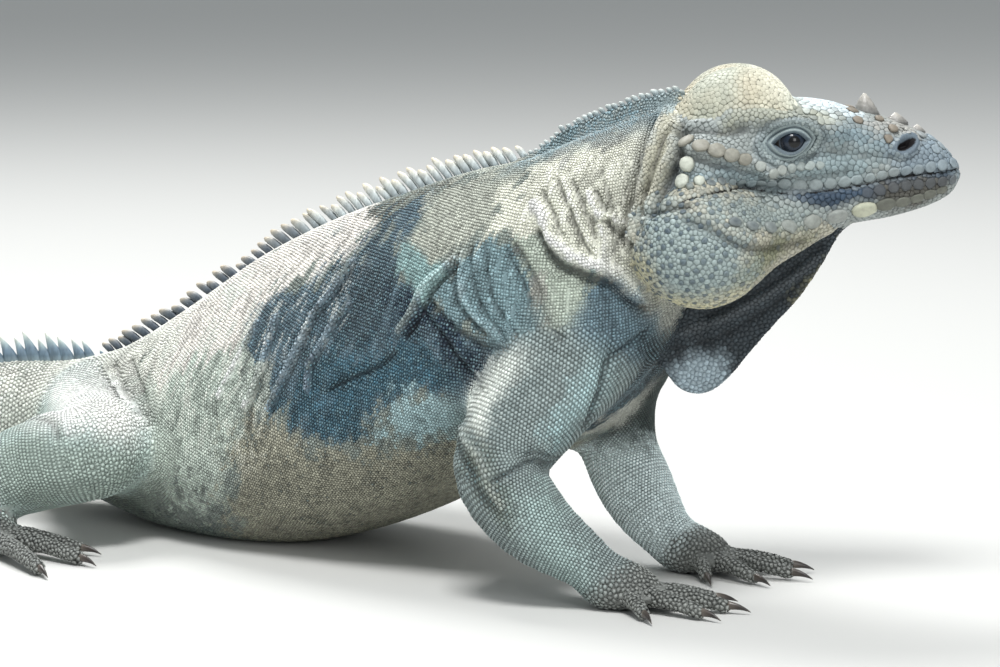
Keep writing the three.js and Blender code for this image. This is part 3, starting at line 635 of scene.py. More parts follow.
def relief(points):
    """How far creases, lids, lips and nostrils raise the skin over the plain flesh."""
    out = creases(points)
    near = np.flatnonzero((points[:, 0] > 60) & (points[:, 2] > 145))
    x, side, z = points[near, 0], np.abs(points[near, 1]), points[near, 2]
    lip = lip_height(points[near])
    rise = 0.9 * bell(lip, 2.4, 1.7) + 0.6 * bell(lip, -2.5, 1.8)
    rise = clamp((x - 66) / 6) * (rise - 1.3 * bell(lip, 0, 0.42))
    # The lids are thin folds over the eyeball, one outside the other.
    ring, outer = lid_ring(points[near]), side > 14
    for at, high, wide in LID_FOLDS:
        rise += outer * high * bell(ring, at, wide)
    gap = lid_gap(points[near])
    rise += outer * (0.45 * bell(gap, 0.8, 0.7) - 3.2 * clamp(0.5 - gap / 0.5))
    ring, pit = nostril(points[near])
    swell = 1.3 * bell(ring, 0.8, 0.26) - 0.6 * bell(ring, 1.4, 0.22)
    rise += (side > 8) * (swell - 4.2 * np.clip(1.2 - pit, 0, 0.8))
    # The ear drum is a shallow bare oval behind the jaw's corner.
    ear = np.hypot((x - 65) / 3.2, (z - 164) / 5.5)
    rise -= 2.4 * (side > 20) * clamp(1.25 - ear)
    out[near] += rise
    return out


def dress(points):
    """Points on the plain flesh, moved to the creased skin, and the skin's directions there."""
    straight = upright(points)
    made = points + straight * relief(points)[:, None]
    a = unit(np.cross(straight, np.where(np.abs(straight[:, 2:]) < 0.9, (0, 0, 1), (1, 0, 0))))
    b = np.cross(straight, a)
    e = 0.5
    tilt = [(relief(points + e * d) - relief(points - e * d)) / (2 * e) for d in (a, b)]
    return made, unit(straight - tilt[0][:, None] * a - tilt[1][:, None] * b)


def in_part(points):
    return ((np.asarray(points) + PLACE) * 0.001).astype(np.float32)


coarse = openvdb.FloatGrid(20.0)
coarse.copyFromArray(np.ascontiguousarray(body.fill[::2, ::2, ::2], np.float32))
points, quads = coarse.convertToQuads(0.0)
points = points * body.step * 2 + body.low
hide = bpy.data.meshes.new("hide")
hide.from_pydata(points.tolist(), [], quads[:, ::-1].tolist())
net = bmesh.new()
net.from_mesh(hide)


def net_points(new=None):
    if new is None:
        return np.array([v.co for v in net.verts])
    for v, p in zip(net.verts, new.tolist()):
        v.co = p


def refine(wanted):
    """Halves the net's faces that are wanted, and lays them on the flesh again."""
    net.faces.ensure_lookup_table()
    centres = np.array([f.calc_center_median() for f in net.faces])
    edges = list({e for i in np.flatnonzero(wanted(centres)) for e in net.faces[i].edges})
    bmesh.ops.subdivide_edges(net, edges=edges, cuts=1, use_grid_fill=True)
    net_points(settle(net_points(), 2))


def eye_near(c, reach):
    return (np.hypot((c[:, 0] - EYE[0]) / 1.4, c[:, 2] - EYE[2]) < reach) & (np.abs(c[:, 1]) > 13)


def nose_near(c, reach):
    return (np.hypot(c[:, 0] - NOSTRIL[0], c[:, 2] - NOSTRIL[2]) < reach) & (np.abs(c[:, 1]) > 5)


def mouth_near(c, reach):
    return (np.abs(lip_height(c)) < reach) & (c[:, 0] > 67)


def fold_near(c):
    out = np.zeros(len(c), bool)
    for line, _, width in folds:
        near = ((c > line[:, :3].min(0) - 4) & (c < line[:, :3].max(0) + 4)).all(1)
        if near.any():
            out[near] |= rope(line, c[near], 5 * (len(line) - 1)) < 2.2 * width
    return out


def head_near(c):
    return (c[:, 0] > 46) & (c[:, 2] > 72) & ((c[:, 0] > 62) | (c[:, 2] > 110))


refine(lambda c: head_near(c) | fold_near(c) | ((c[:, 0] > 4) & (c[:, 2] > 128)))
refine(lambda c: eye_near(c, 11) | nose_near(c, 7.5) | mouth_near(c, 3.6))
refine(lambda c: eye_near(c, 6.2) | nose_near(c, 5) | mouth_near(c, 1.3))
plain = net_points()
rims = ((lid_gap, eye_near(plain, 8), (1, 0, 1)), (lip_height, mouth_near(plain, 1), (0, 0, 1)))
for measure, near, step in rims:
    # The net's points beside an edge of the lids or lips move onto it, so that it is clean.
    here = plain[near]
    off = measure(here)
    g = np.stack([(measure(here + 0.1 * d) - off) / 0.1 for d in np.eye(3)], -1) * step
    g /= np.maximum((g**2).sum(1), 0.2)[:, None]
    close = np.abs(off) < 0.22
    here[close] -= off[close, None] * g[close]
    plain[near] = here
plain = settle(plain, 2)
creased = dress(plain)[0]
under_scales = 0.12 + 0.12 * (plain[:, 0] < 60)  # deeper on the body, where scales stand on it
net_points(in_part(creased - upright(plain) * under_scales[:, None]).astype(float))
net.normal_update()
net.to_mesh(hide)
net.free()
hide.shade_smooth()


def new_piece(name, mesh, slot, *nodes):
    """A piece of the still body, from its finished mesh, in place of the solids it stands for."""
    piece = bpy.data.objects.new(name, mesh)
    bpy.context.collection.objects.link(piece)
    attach(piece, "root")
    if nodes:
        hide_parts(*nodes)


FLESH_NODES = ["head", "lower_jaw", "crown_pad", "jowl_right", "jowl_left", "dewlap", "neck"]
FLESH_NODES += ["trunk_front", "trunk_rear", "tail_base", "tail_middle", "tail_rear", "tail_tip"]
for limb_part in ("upper_arm", "forearm", "hand", "thigh", "shank", "foot"):
    FLESH_NODES += [limb_part + "_right", limb_part + "_left"]
new_piece("skin", hide, "trunk_skin", *FLESH_NODES)

# ---- Scales --------------------------------------------------------------------
# Every place on the animal is covered by small horny scales that meet edge to edge:
# rows round the trunk, tail and limbs, pebbles on the cheeks, and shields on the face.
# Each is a low dome of keratin on its own cell of skin, pointing back along the body.
rng = np.random.default_rng(7)
# x, y, z, radius, height over the skin
SHIELDS = {
    "corner": [(70.1, 34.4, 168.6, 3.1, 1.9), (68.4, 35.2, 162.2, 3.2, 2.1), (74.6, 36.5, 162.4, 2.3, 1.3),
        (71.6, 37.5, 158.2, 1.6, 1)],
    "jaw": [(138.1, 17.1, 149.8, 3.6, 1.3), (127.7, 18.8, 147.6, 3.2, 1.2), (118, 23.4, 145.6, 2.8, 1.1),
        (108.9, 29.3, 144.8, 2.5, 1), (101.3, 35.6, 144.8, 2.2, 0.9), (94.2, 42.3, 146.1, 1.9, 0.8),
        (87.6, 45.8, 148, 1.8, 0.7), (146.6, 16, 151.4, 2.9, 0.7), (153, 14, 152.2, 2.3, 0.5),
        (158.6, 12.4, 153.4, 2.1, 0.4), (163.6, 11, 154.8, 2, 0.4), (168.4, 9, 156.4, 1.8, 0.3)],
    "lower lip": [(172.3, 7.1, 160, 1.9, 0.3), (168.2, 9.8, 159.6, 2.1, 0.3), (163.5, 12, 159.3, 2.1, 0.3),
        (158.8, 13.6, 158.9, 2.1, 0.3), (154.1, 14.9, 158.5, 2.1, 0.3), (149.1, 16.2, 157.9, 2.1, 0.3),
        (144, 17.4, 157, 2.1, 0.3), (139, 18.6, 156.2, 2, 0.3)],
    "upper lip": [(172.2, 6.3, 166.2, 2, 0.45), (168, 9.5, 166, 2.2, 0.5), (163.3, 11.4, 165.7, 2.2, 0.5),
        (158.6, 12.4, 165.3, 2.2, 0.5), (153.9, 13.8, 164.8, 2.2, 0.5), (149.2, 14.8, 164.2, 2.2, 0.5),
        (144.5, 15, 163.4, 2.2, 0.5), (139.8, 15.9, 162.6, 2.2, 0.5), (135, 17.3, 161.8, 2.3, 0.6),
        (130, 18.1, 161.1, 2.4, 0.65), (124.8, 19.2, 160.4, 2.5, 0.7), (119.2, 20.3, 159.9, 2.7, 0.75),
        (113.2, 21, 159.7, 2.9, 0.8), (107.4, 22.9, 160.2, 2.5, 0.7), (102.6, 23, 160.9, 2, 0.6),
        (98.5, 24.3, 161.4, 1.8, 0.5), (94.7, 25.1, 161.4, 1.8, 0.5), (90.8, 27.1, 161.6, 1.8, 0.45),
        (86.9, 29.4, 161.8, 1.8, 0.45), (82.8, 32.8, 161.6, 1.8, 0.45), (78.8, 35.7, 161, 1.7, 0.4)],
    "temple": [(70.2, 30.4, 176.3, 3, 1.1), (75.4, 33.2, 174.7, 3, 1.2), (81, 33.7, 173.4, 3.1, 1.3),
        (86.4, 33, 171.8, 2.8, 1.3), (91.4, 31.5, 170.2, 2.5, 1.1)],
    "under eye": [(97.2, 29.6, 167.6, 2.2, 0.8), (102.4, 27.6, 165, 2.2, 0.9),
        (106.2, 26.8, 165.6, 2.1, 0.9), (109.9, 25.8, 166.3, 2, 0.8), (113.5, 24.9, 166.9, 1.9, 0.8),
        (117, 23.9, 167.2, 1.8, 0.7), (120.4, 23.1, 167.2, 1.7, 0.6)],
    "snout": [(171.3, 2.2, 170.1, 2.1, 0.5), (168.2, 4.5, 172.7, 2.2, 0.6), (164.7, 3.2, 175.1, 2.3, 0.7),
        (160.4, 6.4, 177.2, 2.3, 0.7), (165.2, 8.6, 171.4, 2, 0.4), (144.2, 8, 183.3, 2, 1.1),
        (149.2, 11.4, 179.8, 2.1, 1.2), (147, 14.4, 176.2, 1.8, 0.9), (134.5, 6.5, 187.4, 2.4, 0.9),
        (136, 13.2, 184.2, 2.1, 0.7)],
}


def cast_out(starts, ways, reach, steps=56):
    """Where straight lines from inside the flesh come out of it."""
    t = np.linspace(0, 1, steps)
    along = starts[:, None] + ways[:, None] * (reach[:, None, None] * t[None, :, None])
    h = body.read(along)
    k = np.clip(np.argmax(h > 0, 1), 1, steps - 1)
    i = np.arange(len(h))
    a, b = h[i, k - 1], h[i, k]
    share = clamp(a / np.where(np.abs(a - b) < 1e-9, 1, a - b))
    return starts + ways * (reach * (t[k - 1] + share * (t[k] - t[k - 1])))[:, None]


HEX_ROW = 1.74  # the step between staggered rows of scales, by their radius


def rows_round(line, side, up, reach, radius_at, stretch=1.0, turns=80):
    """Staggered rows of places round a line, with the way along it and the scale's size."""
    run, ahead = run_along(line), unit(np.gradient(line, axis=0))
    at, rows = 0.0, []
    while at < run[-1]:
        rows.append(at)
        at += HEX_ROW * radius_at(at / run[-1]) * stretch
    rows = np.array(rows)

    def pick(values):
        return np.stack([np.interp(rows, run, v) for v in np.asarray(values, float).T], -1)

    c, a, b, w, r = pick(line), pick(side), pick(up), pick(ahead), np.interp(rows, run, reach)
    turn = np.linspace(0, 2 * math.pi, turns, endpoint=False)
    ways = a[:, None] * np.cos(turn)[:, None] + b[:, None] * np.sin(turn)[:, None]
    rings = cast_out(np.repeat(c, turns, 0), ways.reshape(-1, 3), np.repeat(r, turns))
    places, back, sizes = [], [], []
    for k, ring in enumerate(rings.reshape(len(rows), turns, 3)):
        shut = np.concatenate([ring, ring[:1]])
        length = run_along(shut)
        size = radius_at(rows[k] / run[-1])
        n = max(5, int(round(length[-1] / (2 * size))))
        spots = (np.arange(n) + 0.5 * (k % 2)) / n
        places.append(np.stack([np.interp(spots * length[-1], length, v) for v in shut.T], -1))
        back.append(np.repeat(w[k : k + 1], n, 0))
        sizes.append(np.full(n, size))
    return [np.concatenate(v) for v in (places, back, sizes)]


# Columns of the list of scales: place, way back, radius, height and kind. Shields' kinds are -1
# and down, in the order of SHIELDS, the rows' are 1 to 5.
LOOSE = 9
roots = []


def grow(places, back, radius, height, kind):
    roots.append(np.c_[places, back, radius, height, np.full(len(places), kind)])


for k, rows in enumerate(SHIELDS.values()):
    shields = np.array(rows, float)
    for y in (-1, 1):
        p = shields[:, :3] * (1, y, 1)
        grow(p, np.tile((-1.0, 0, 0), (len(p), 1)), shields[:, 3], shields[:, 4], -1 - k)


def tree_of(points):
    tree = kdtree.KDTree(len(points))
    for i, q in enumerate(points):
        tree.insert(q, i)
    tree.balance()
    return tree


spine_3d = np.c_[spine_line[:, :2], spine_line[:, 5]]
spine_tree = tree_of(spine_line[:, :3] * (1, 1, 0))


def nearest_spine(points):
    """Which place on the spine's line each point is beside."""
    return np.array([spine_tree.find((x, y, 0))[1] for x, y in points[:, :2]])


SPINE_RADII = ([0, 0.07, 0.1, 0.33, 0.4, 0.55, 0.8, 1], [0.62, 0.64, 0.68, 0.72, 1.0, 1.15, 1.05, 0.7])
p, back, size = rows_round(
    spine_3d,
    np.c_[spine_right, np.zeros(len(spine_right))],
    np.tile((0.0, 0, 1), (len(spine_3d), 1)),
    np.maximum(spine_line[:, 4], spine_line[:, 2] - spine_line[:, 5]) * 1.5 + 4,
    lambda share: np.interp(share, *SPINE_RADII),
)
keep = np.isin(body.owned_by(p), (TRUNK, NECK, TAIL))
near = nearest_spine(p)
under_beads = (spine_at[near] > 0.9) & (spine_at[near] < 4.3)
under_beads &= np.linalg.norm(p[:, :2] - spine_line[near, :2], axis=1) < 1.5
keep &= ~(under_beads & (p[:, 2] > spine_line[near, 2]))
p += 0.17 * size[:, None] * rng.standard_normal(p.shape)
grow(p[keep], back[keep], size[keep] * 0.98, 0.24 * size[keep], 1)
for k, (name, limb) in enumerate(LIMBS.items()):
    path = np.array(limb["path"], float)
    line = smooth(path, np.linspace(0, len(path) - 1, 120))
    way = unit(np.gradient(line[:, :3], axis=0))
    side = unit(np.cross(way, (0.0, 0.3, 1.0) if name.startswith("leg") else (1.0, 0.2, 0.1)))
    reach = line[:, 3] * 1.6 + 3
    smaller_down = lambda share: 0.85 - 0.18 * share
    p, back, size = rows_round(line[:, :3], side, np.cross(way, side), reach, smaller_down, 1.1, 64)
    keep = body.owned_by(p) == LIMB + k
    grow(p[keep], back[keep], size[keep], 0.19 * size[keep], 2 + k)


NECK_END, HIPS = 3.3, 12.4  # the spine's stations between neck, trunk and tail


def flesh_owner(points):
    """The part of the body at places on the flesh, the long trunk split at the nape and the hips."""
    owner = body.owned_by(points).astype(int)
    near = nearest_spine(points)
    owner[(owner == TRUNK) & (spine_at[near] < NECK_END)] = NECK
    owner[(owner == TRUNK) & (spine_at[near] > HIPS)] = TAIL
    return owner, near


def grain(points, owner, near):
    """The usual radius of a scale, by part of the body."""
    r = np.interp(spine_run[near] / spine_run[-1], *SPINE_RADII)
    r = np.where((owner >= LIMB) & (owner < PAW), 0.85, r)
    r[owner == PAW] = 0.8
    r[owner == CROWN] = 0.85
    r[owner == THROAT] = 0.75
    spots = rng.random(len(points)) < 0.2
    r[owner == JOWLS] = np.where(spots, 1.02, 0.72)[owner == JOWLS]
    x, side, z = points[:, 0], np.abs(points[:, 1]), points[:, 2]
    face_r = np.interp(x, (55, 64, 72, 95, 120, 150, 175), (0.6, 0.62, 0.78, 0.8, 0.9, 1.0, 0.95))
    jaw_r = np.interp(x, (50, 66, 90, 120, 160), (0.65, 0.9, 1.15, 0.95, 0.85))
    face_r = np.where(lip_height(points) < -2, jaw_r, face_r)
    face_r = np.where((z > 183) & (x > 112), 1.25, face_r)
    eye = np.hypot((x - EYE[0]) / 1.4, z - EYE[2])
    face_r = np.where((eye < 10.5) & (side > 14), np.interp(eye, (5, 10), (0.45, 0.7)), face_r)
    nose = np.hypot(x - NOSTRIL[0], z - NOSTRIL[2])
    face_r = np.where((nose < 7) & (side > 6), 0.7, face_r)
    face_r = np.where(z < 145, 0.8, face_r)
    return np.where(owner == FACE, face_r, r)


# The rest is filled with loose scales, thrown over the skin and thinned where they crowd.
hide.calc_loop_triangles()
corners = np.zeros(len(hide.loop_triangles) * 3, int)
hide.loop_triangles.foreach_get("vertices", corners)
triangles, folded = plain[corners.reshape(-1, 3)], creased[corners.reshape(-1, 3)]
area = np.linalg.norm(np.cross(folded[:, 1] - folded[:, 0], folded[:, 2] - folded[:, 0]), axis=1) / 2
middle = triangles.mean(1)
size = grain(middle, *flesh_owner(middle))
chance = area / size**2
CELL, TIMES_OVER = 3.46, 3.4  # a scale's area by its radius squared; how many are thrown for each kept
n = int(chance.sum() / CELL * TIMES_OVER)
pick = rng.choice(len(area), n, p=chance / chance.sum())
u, v = rng.random((2, n, 1))
u, v = np.where(u + v > 1, 1 - u, u), np.where(u + v > 1, 1 - v, v)
t = triangles[pick]
p = settle(t[:, 0] + u * (t[:, 1] - t[:, 0]) + v * (t[:, 2] - t[:, 0]), 1)
bare = (np.abs(p - (110, 0, 176)) < (14, 1e3, 11)).all(1) & (np.abs(p[:, 1]) > 14)
bare &= (lid_gap(p) < 1.5) | (lid_ring(p) < 7.6)
bare |= (nostril(p)[0] < 1.05) & (p[:, 0] > 140) & (np.abs(p[:, 1]) > 6)
bare |= (np.abs(lip_height(p)) < 0.4) & (p[:, 0] > 68)
p = p[~bare & (p[:, 2] > 0.9)]
owner, near = flesh_owner(p)
size = grain(p, owner, near)
# by owner, in the order of the tints further down: height as a share of the radius
TALL = np.array([0.24, 0.24, 0.26, 0.26, 0.26, 0.26, 0.26, 0.3, 0.14, 0.055, 0.2, 0.24])
back = np.where((owner == THROAT)[:, None], (-0.5, 0.0, -1.0), (-1.0, 0.0, 0.0))
back = np.where((owner == JOWLS)[:, None], (-0.6, 0.0, -0.6), back)
grow(p, back, size, TALL[owner] * size, LOOSE)

roots = np.concatenate(roots)
radius = roots[:, 6]
points = roots[:, :3] + upright(roots[:, :3]) * relief(roots[:, :3])[:, None]
tree = tree_of(points)
alive = np.ones(len(points), bool)
LARGEST = 1.3  # radius of the largest scale that isn't a shield
share = np.where(roots[:, 8] == LOOSE, 0.84, 0.62)  # how near two may stand, of their radii
for i, q in enumerate(points):
    if alive[i]:
        for _, j, off in tree.find_range(q, share[i] * (radius[i] + LARGEST)):
            if j > i and off < share[j] * (radius[i] + radius[j]):
                alive[j] = False
roots = roots[alive]
points, back = settle(roots[:, :3], 2), roots[:, 3:6]
radius, tall, kind = roots[:, 6], roots[:, 7], roots[:, 8]
owner, near_spine = flesh_owner(points)


def along_skin(facing):
    """The way back of each scale, laid on its skin."""
    return unit(back - (back * facing).sum(1)[:, None] * facing)


def cell_reach(places, these, sides):
    """How far each scale reaches in each direction before it meets the next, as a cell of its own."""
    next_to, own = beside[these], radius[these, None]
    across = np.cross(facing[these], lie[these])
    d = places[next_to] - places[these, None]
    du, dv = (d * lie[these, None]).sum(-1), (d * across[:, None]).sum(-1)
    half = 0.5 * (du**2 + dv**2 + own**2 - radius[next_to] ** 2)
    other_face = (facing[next_to] * facing[these, None]).sum(-1) < 0.1
    half[other_face] = 1e3
    half = np.maximum(half, 0.15 * own**2)
    a = np.arange(sides) * 2 * math.pi / sides
    ahead = du[..., None] * np.cos(a) + dv[..., None] * np.sin(a)
    reach = np.where(ahead > 1e-3, half[..., None] / np.maximum(ahead, 1e-3), 1e3).min(1)
    return np.clip(reach, 0.45 * own, 1.8 * own), a, across


NEXT = 11  # the neighbours that can bound a scale's cell
tree = tree_of(points)
beside = np.array([[j for _, j, _ in tree.find_n(q, NEXT + 1)][1:] for q in points])
for _ in range(2):
    # Loose scales move to the middle of their cells, so that they sit as evenly as the rows.
    facing = upright(points)
    lie = along_skin(facing)
    reach, a, across = cell_reach(points, slice(None), 8)
    push = (reach**3 * np.cos(a)).sum(1)[:, None] * lie + (reach**3 * np.sin(a)).sum(1)[:, None] * across
    push *= (2 / 3) / (reach**2).sum(1)[:, None]
    points = settle(points + 0.8 * push * (kind == LOOSE)[:, None], 1)
placed, facing = dress(points)
facing = unit(facing + facing[beside[:, :6]].mean(1))
lie = along_skin(facing)


# ---- Colours of the hide ------------------------------------------------------
# Melanin in the skin under clear horn gives slate, ash and ochre fields with speckled
# edges, and the nape and cheeks are sand. Some fields are painted light: painted sunlight on
# the near-white back, neck and limbs, and painted shade in the flank's deepest slate.
# Skin and scales take the same fields. Each is an outline over the right side, laid again over the left.
def linear(text):
    v = np.array([int(text[i : i + 2], 16) for i in (1, 3, 5)]) / 255
    return np.where(v <= 0.04045, v / 12.92, ((v + 0.055) / 1.055) ** 2.4)


def stain(colour, tint, share):
    """Draws colours towards a tint, each by its own share."""
    colour += (linear(tint) - colour) * np.reshape(share, (-1, 1))


BODY, ARM, HIND = (TRUNK, NECK, TAIL), (LIMB,), (LIMB + 2, LIMB + 3)
# by owner: trunk, neck, tail, arm right and left, leg right and left, paws, face, crown, jowls, throat; the
# left arm's dark slate is painted shade, and the throat's is partly painted shade
TINTS = "#8f9891 #b7b9b0 #c9cfc5 #8e9b9a #46524f #bed0cb #bed0cb".split()
TINTS += "#838682 #949b99 #acafa0 #b1ae9e #30393f".split()
# colour, how ragged or soft the edge is, speckle, whose skin, outline from the side
FIELDS = [
    ("#c7d3c8", 14, 0.5, BODY, [(-175, 60), (-150, 80), (-129, 94), (-116, 99), (-104, 88), (-96, 78),
     (-93, 66), (-100, 49), (-109, 20), (-143, 18), (-170, 30)]),
    ("#a5a493", 9, 0.8, BODY, [(-97, 60), (-83, 58), (-75, 51), (-61, 52), (-45, 54), (-27, 58), (-10, 66),
     (12, 66), (10, 30), (-20, 8), (-80, -10), (-110, 0), (-108, 45)]),
    # painted sunlight: the near-white field over the back
    ("#fbf7ef", 6, 0.5, BODY, [(-150, 84), (-125, 102), (-107, 116), (-97, 124), (-81, 134), (-60, 147),
     (-51, 145), (-41, 143), (-49, 136), (-56, 129), (-61, 124), (-69, 120), (-77, 114), (-86, 110),
     (-93, 105), (-98, 96), (-106, 86), (-120, 80), (-140, 66)]),
    ("#7c7c70", 6, 0.4, BODY, [(-51, 141), (-46, 146), (-30, 153), (-14, 158), (-22, 150), (-33, 146),
     (-41, 141), (-47, 136)]),
    # painted shade, partly the hide's own slate: the slate, dark slate, blue and navy fields of the flank,
    # the navy one under the fold
    ("#637985", 5, 0.7, BODY, [(-101, 86), (-97, 95), (-91, 105), (-79, 112), (-74, 112), (-67, 119),
     (-61, 121), (-58, 124), (-53, 130), (-46, 137), (-39, 144), (-26, 150), (-30, 143), (-35, 135),
     (-39, 131), (-38, 120), (-29, 113), (-10, 103), (0, 98), (12, 104), (4, 84), (-8, 76), (-15, 71),
     (-21, 74), (-34, 77), (-40, 72), (-47, 64), (-53, 61), (-61, 54), (-75, 52), (-80, 56), (-84, 63),
     (-91, 64), (-95, 71), (-96, 80)]),
    ("#4a5d68", 8, 0.6, BODY, [(-61, 121), (-53, 130), (-41, 138), (-39, 131), (-40, 125), (-38, 115),
     (-41, 104), (-45, 94), (-59, 88), (-65, 93), (-61, 105)]),
    ("#426a7c", 9, 0.6, BODY, [(-79, 76), (-67, 89), (-47, 92), (-39, 100), (-27, 96), (-15, 87), (-11, 78),
     (-23, 76), (-34, 77), (-40, 72), (-47, 64), (-61, 55), (-74, 53), (-79, 60), (-87, 65)]),
    ("#172f47", 7, 0.6, BODY, [(-40, 115), (-34, 116), (-23, 111), (-11, 99), (0, 96), (6, 99), (-2, 86),
     (-11, 82), (-23, 94), (-29, 101), (-37, 98), (-42, 98), (-41, 105)]),
    # painted shade, partly the hide's own colour: the pale teal over the field of wrinkles at the shoulder
    ("#87a2a8", 4, 0.5, BODY, [(-24, 123), (-19, 128), (-13, 132), (-7, 137), (0, 138), (5, 133), (10, 129),
     (15, 118), (17, 111), (12, 103), (6, 100), (-4, 97), (-11, 100), (-17, 106), (-25, 112), (-29, 115)]),
    ("#93b1b0", 2.5, 0.3, BODY, [(-39, 132), (-34, 133), (-29, 129), (-23, 127), (-21, 123), (-26, 119),
     (-32, 112), (-34, 118), (-38, 120), (-40, 127)]),
    ("#abc6c9", 7, 0.5, BODY, [(-47, 62), (-40, 72), (-33, 76), (-21, 74), (-14, 73), (-14, 60), (-31, 56),
     (-45, 55)]),
    ("#babeb2", 3, 0.3, BODY, [(-35, 134), (-31, 140), (-27, 149), (-18, 154), (0, 162), (12, 166),
     (8, 157), (0, 150), (-3, 142), (-8, 138), (-13, 134), (-19, 130), (-27, 127), (-32, 131)]),
    # painted sunlight over the neck's pale sand
    ("#eeefe0", 4, 0.4, BODY, [(-3, 142), (0, 150), (8, 159), (13, 165), (27, 170), (38, 173), (47, 177),
     (57, 180), (62, 172), (56, 158), (50, 149), (48, 137), (40, 128), (32, 128), (23, 134), (17, 137),
     (8, 138), (2, 140)]),
    ("#bec8bb", 4, 0.4, BODY, [(6, 138), (17, 137), (25, 134), (32, 128), (38, 124), (35, 118), (32, 108),
     (26, 104), (18, 104), (16, 116), (11, 127)]),
    # painted shade, partly the hide's own slate: the blue front of the shoulder
    ("#738c98", 4, 0.3, BODY + ARM, [(38, 124), (45, 121), (53, 116), (60, 109), (62, 98), (55, 91),
     (44, 92), (38, 98), (30, 103), (28, 107), (34, 117)]),
    # painted shade on the chest between the arms
    ("#3d464c", 8, 0.3, BODY, [(44, 92), (62, 100), (68, 81), (60, 50), (44, 44), (36, 52), (38, 78)]),
    # painted highlight along the upper arm's top edge
    ("#f2f7ef", 7, 0.3, ARM, [(-14, 74), (-9, 87), (2, 98), (10, 96), (2, 84), (-4, 75), (-7, 66)]),
    ("#adc8ca", 8, 0.3, ARM, [(22, 60), (34, 76), (44, 90), (38, 99), (30, 86), (23, 75), (17, 66)]),
    # painted sunlight on the left forearm
    ("#ecfbfb", 8, 0.3, (LIMB + 1,), [(-90, 50), (170, 50), (170, 3), (-90, 3)]),
    # painted shade at the back of the elbow
    ("#6d766d", 8, 0.4, ARM, [(-18, 64), (-13, 53), (-6, 40), (3, 30), (9, 38), (0, 50), (-8, 64)]),
    ("#a3b7b4", 8, 0.3, ARM, [(8, 26), (6, 44), (18, 46), (30, 28), (42, 6), (24, 4)]),
    # painted sunlight on the top of the thigh
    ("#fafbf6", 9, 0.3, HIND, [(-200, 52), (-182, 64), (-163, 66), (-150, 62), (-142, 50), (-150, 42),
     (-167, 50), (-184, 50)]),
    ("#a6b5ad", 9, 0.3, HIND, [(-215, 44), (-199, 48), (-187, 49), (-172, 48), (-154, 44), (-140, 38),
     (-146, 24), (-162, 18), (-186, 16), (-215, 20)]),
    # painted sunlight on the top of the hips and the tail's root
    ("#edeee4", 9, 0.4, BODY, [(-230, 60), (-188, 66), (-165, 74), (-140, 90), (-134, 84), (-144, 68),
     (-162, 57), (-185, 52), (-230, 50)]),
    ("#a7a696", 3, 0.3, (FACE, NECK), [(48, 138), (50, 149), (52, 162), (58, 178), (63, 188), (68, 188),
     (66, 176), (63, 164), (60, 154), (54, 140)]),
    ("#838e92", 2.5, 0.3, (FACE, NECK), [(58, 138), (60, 150), (62, 160), (65, 168), (68, 160), (66, 148),
     (63, 138)]),
    ("#8b9ca1", 6, 0.3, (FACE,), [(68, 168), (84, 168), (98, 163), (104, 158), (90, 160), (76, 161),
     (66, 160)]),
    ("#7f9096", 5, 0.4, (FACE,), [(119, 177), (136, 173), (150, 171), (146, 180), (133, 184), (127, 182)]),
    ("#9fa295", 4, 0.4, (FACE, CROWN), [(82, 180), (86, 190), (113, 194), (124, 190), (130, 184),
     (122, 182), (110, 185), (94, 183)]),
    ("#e4e5d4", 8, 0.1, (CROWN,), [(97, 205), (101, 192), (104, 184), (120, 180), (122, 205)]),
    ("#d6e3e8", 4, 0.5, (FACE,), [(112, 192), (124, 192), (138, 187), (136, 185), (126, 187), (116, 189)]),
    ("#8d9da0", 6, 0.4, (FACE,), [(112, 171), (132, 173), (146, 169), (139, 161), (121, 161), (104, 159)]),
    ("#808e97", 6, 0.6, (FACE,), [(150, 162), (148, 176), (160, 181), (178, 170), (178, 160)]),
    ("#9c9c97", 4, 0.5, (FACE,), [(138, 182), (150, 186), (163, 181), (160, 176), (150, 178), (142, 179)]),
    ("#314355", 2.5, 0.2, (FACE,), [(104, 156.2), (125, 158), (144, 160.6), (160, 163), (170, 163.4),
     (172, 161), (163, 158), (152, 155.6), (136, 153.6), (125, 151), (113, 153)]),
    ("#504f49", 4, 0.6, (FACE,), [(142, 159), (162, 162), (171, 160), (170, 155), (158, 150), (146, 150)]),
    ("#8d9794", 5, 0.4, (FACE, JOWLS), [(75, 158), (106, 154), (123, 147), (109, 142), (93, 145),
     (78, 153)]),
    ("#84866c", 6, 0.4, (FACE, JOWLS), [(84, 120), (96, 124), (105, 133), (118, 139), (105, 141), (92, 134),
     (84, 127)]),
    ("#98a6a5", 9, 0.4, (JOWLS,), [(50, 150), (60, 157), (76, 153), (92, 141), (94, 128), (82, 117),
     (62, 117), (52, 130)]),
    ("#c7c2a3", 7, 0.4, (JOWLS,), [(44, 134), (48, 116), (66, 106), (84, 108), (100, 118), (90, 121),
     (75, 117), (60, 119), (54, 132)]),
    ("#a8b9c2", 6, 0.3, (THROAT,), [(62, 72), (65, 86), (76, 91), (86, 91), (86, 80), (77, 68)]),
    ("#848164", 5, 0.4, (THROAT, FACE), [(112, 112), (124, 126), (134, 140), (142, 140), (126, 118),
     (114, 104)]),
]
NAPE_BAND, BACK_BAND = "#7e969e", "#938e7c"
# colour, distance from the eye, width and strength of the lids' rings; the second ring is painted shade
# where they fold
LID_TINTS = [("#98a4a3", 5, 4.5, 0.9), ("#6c7a82", 8.9, 1.3, 0.4), ("#4e5a62", 3.2, 1.2, 0.7)]
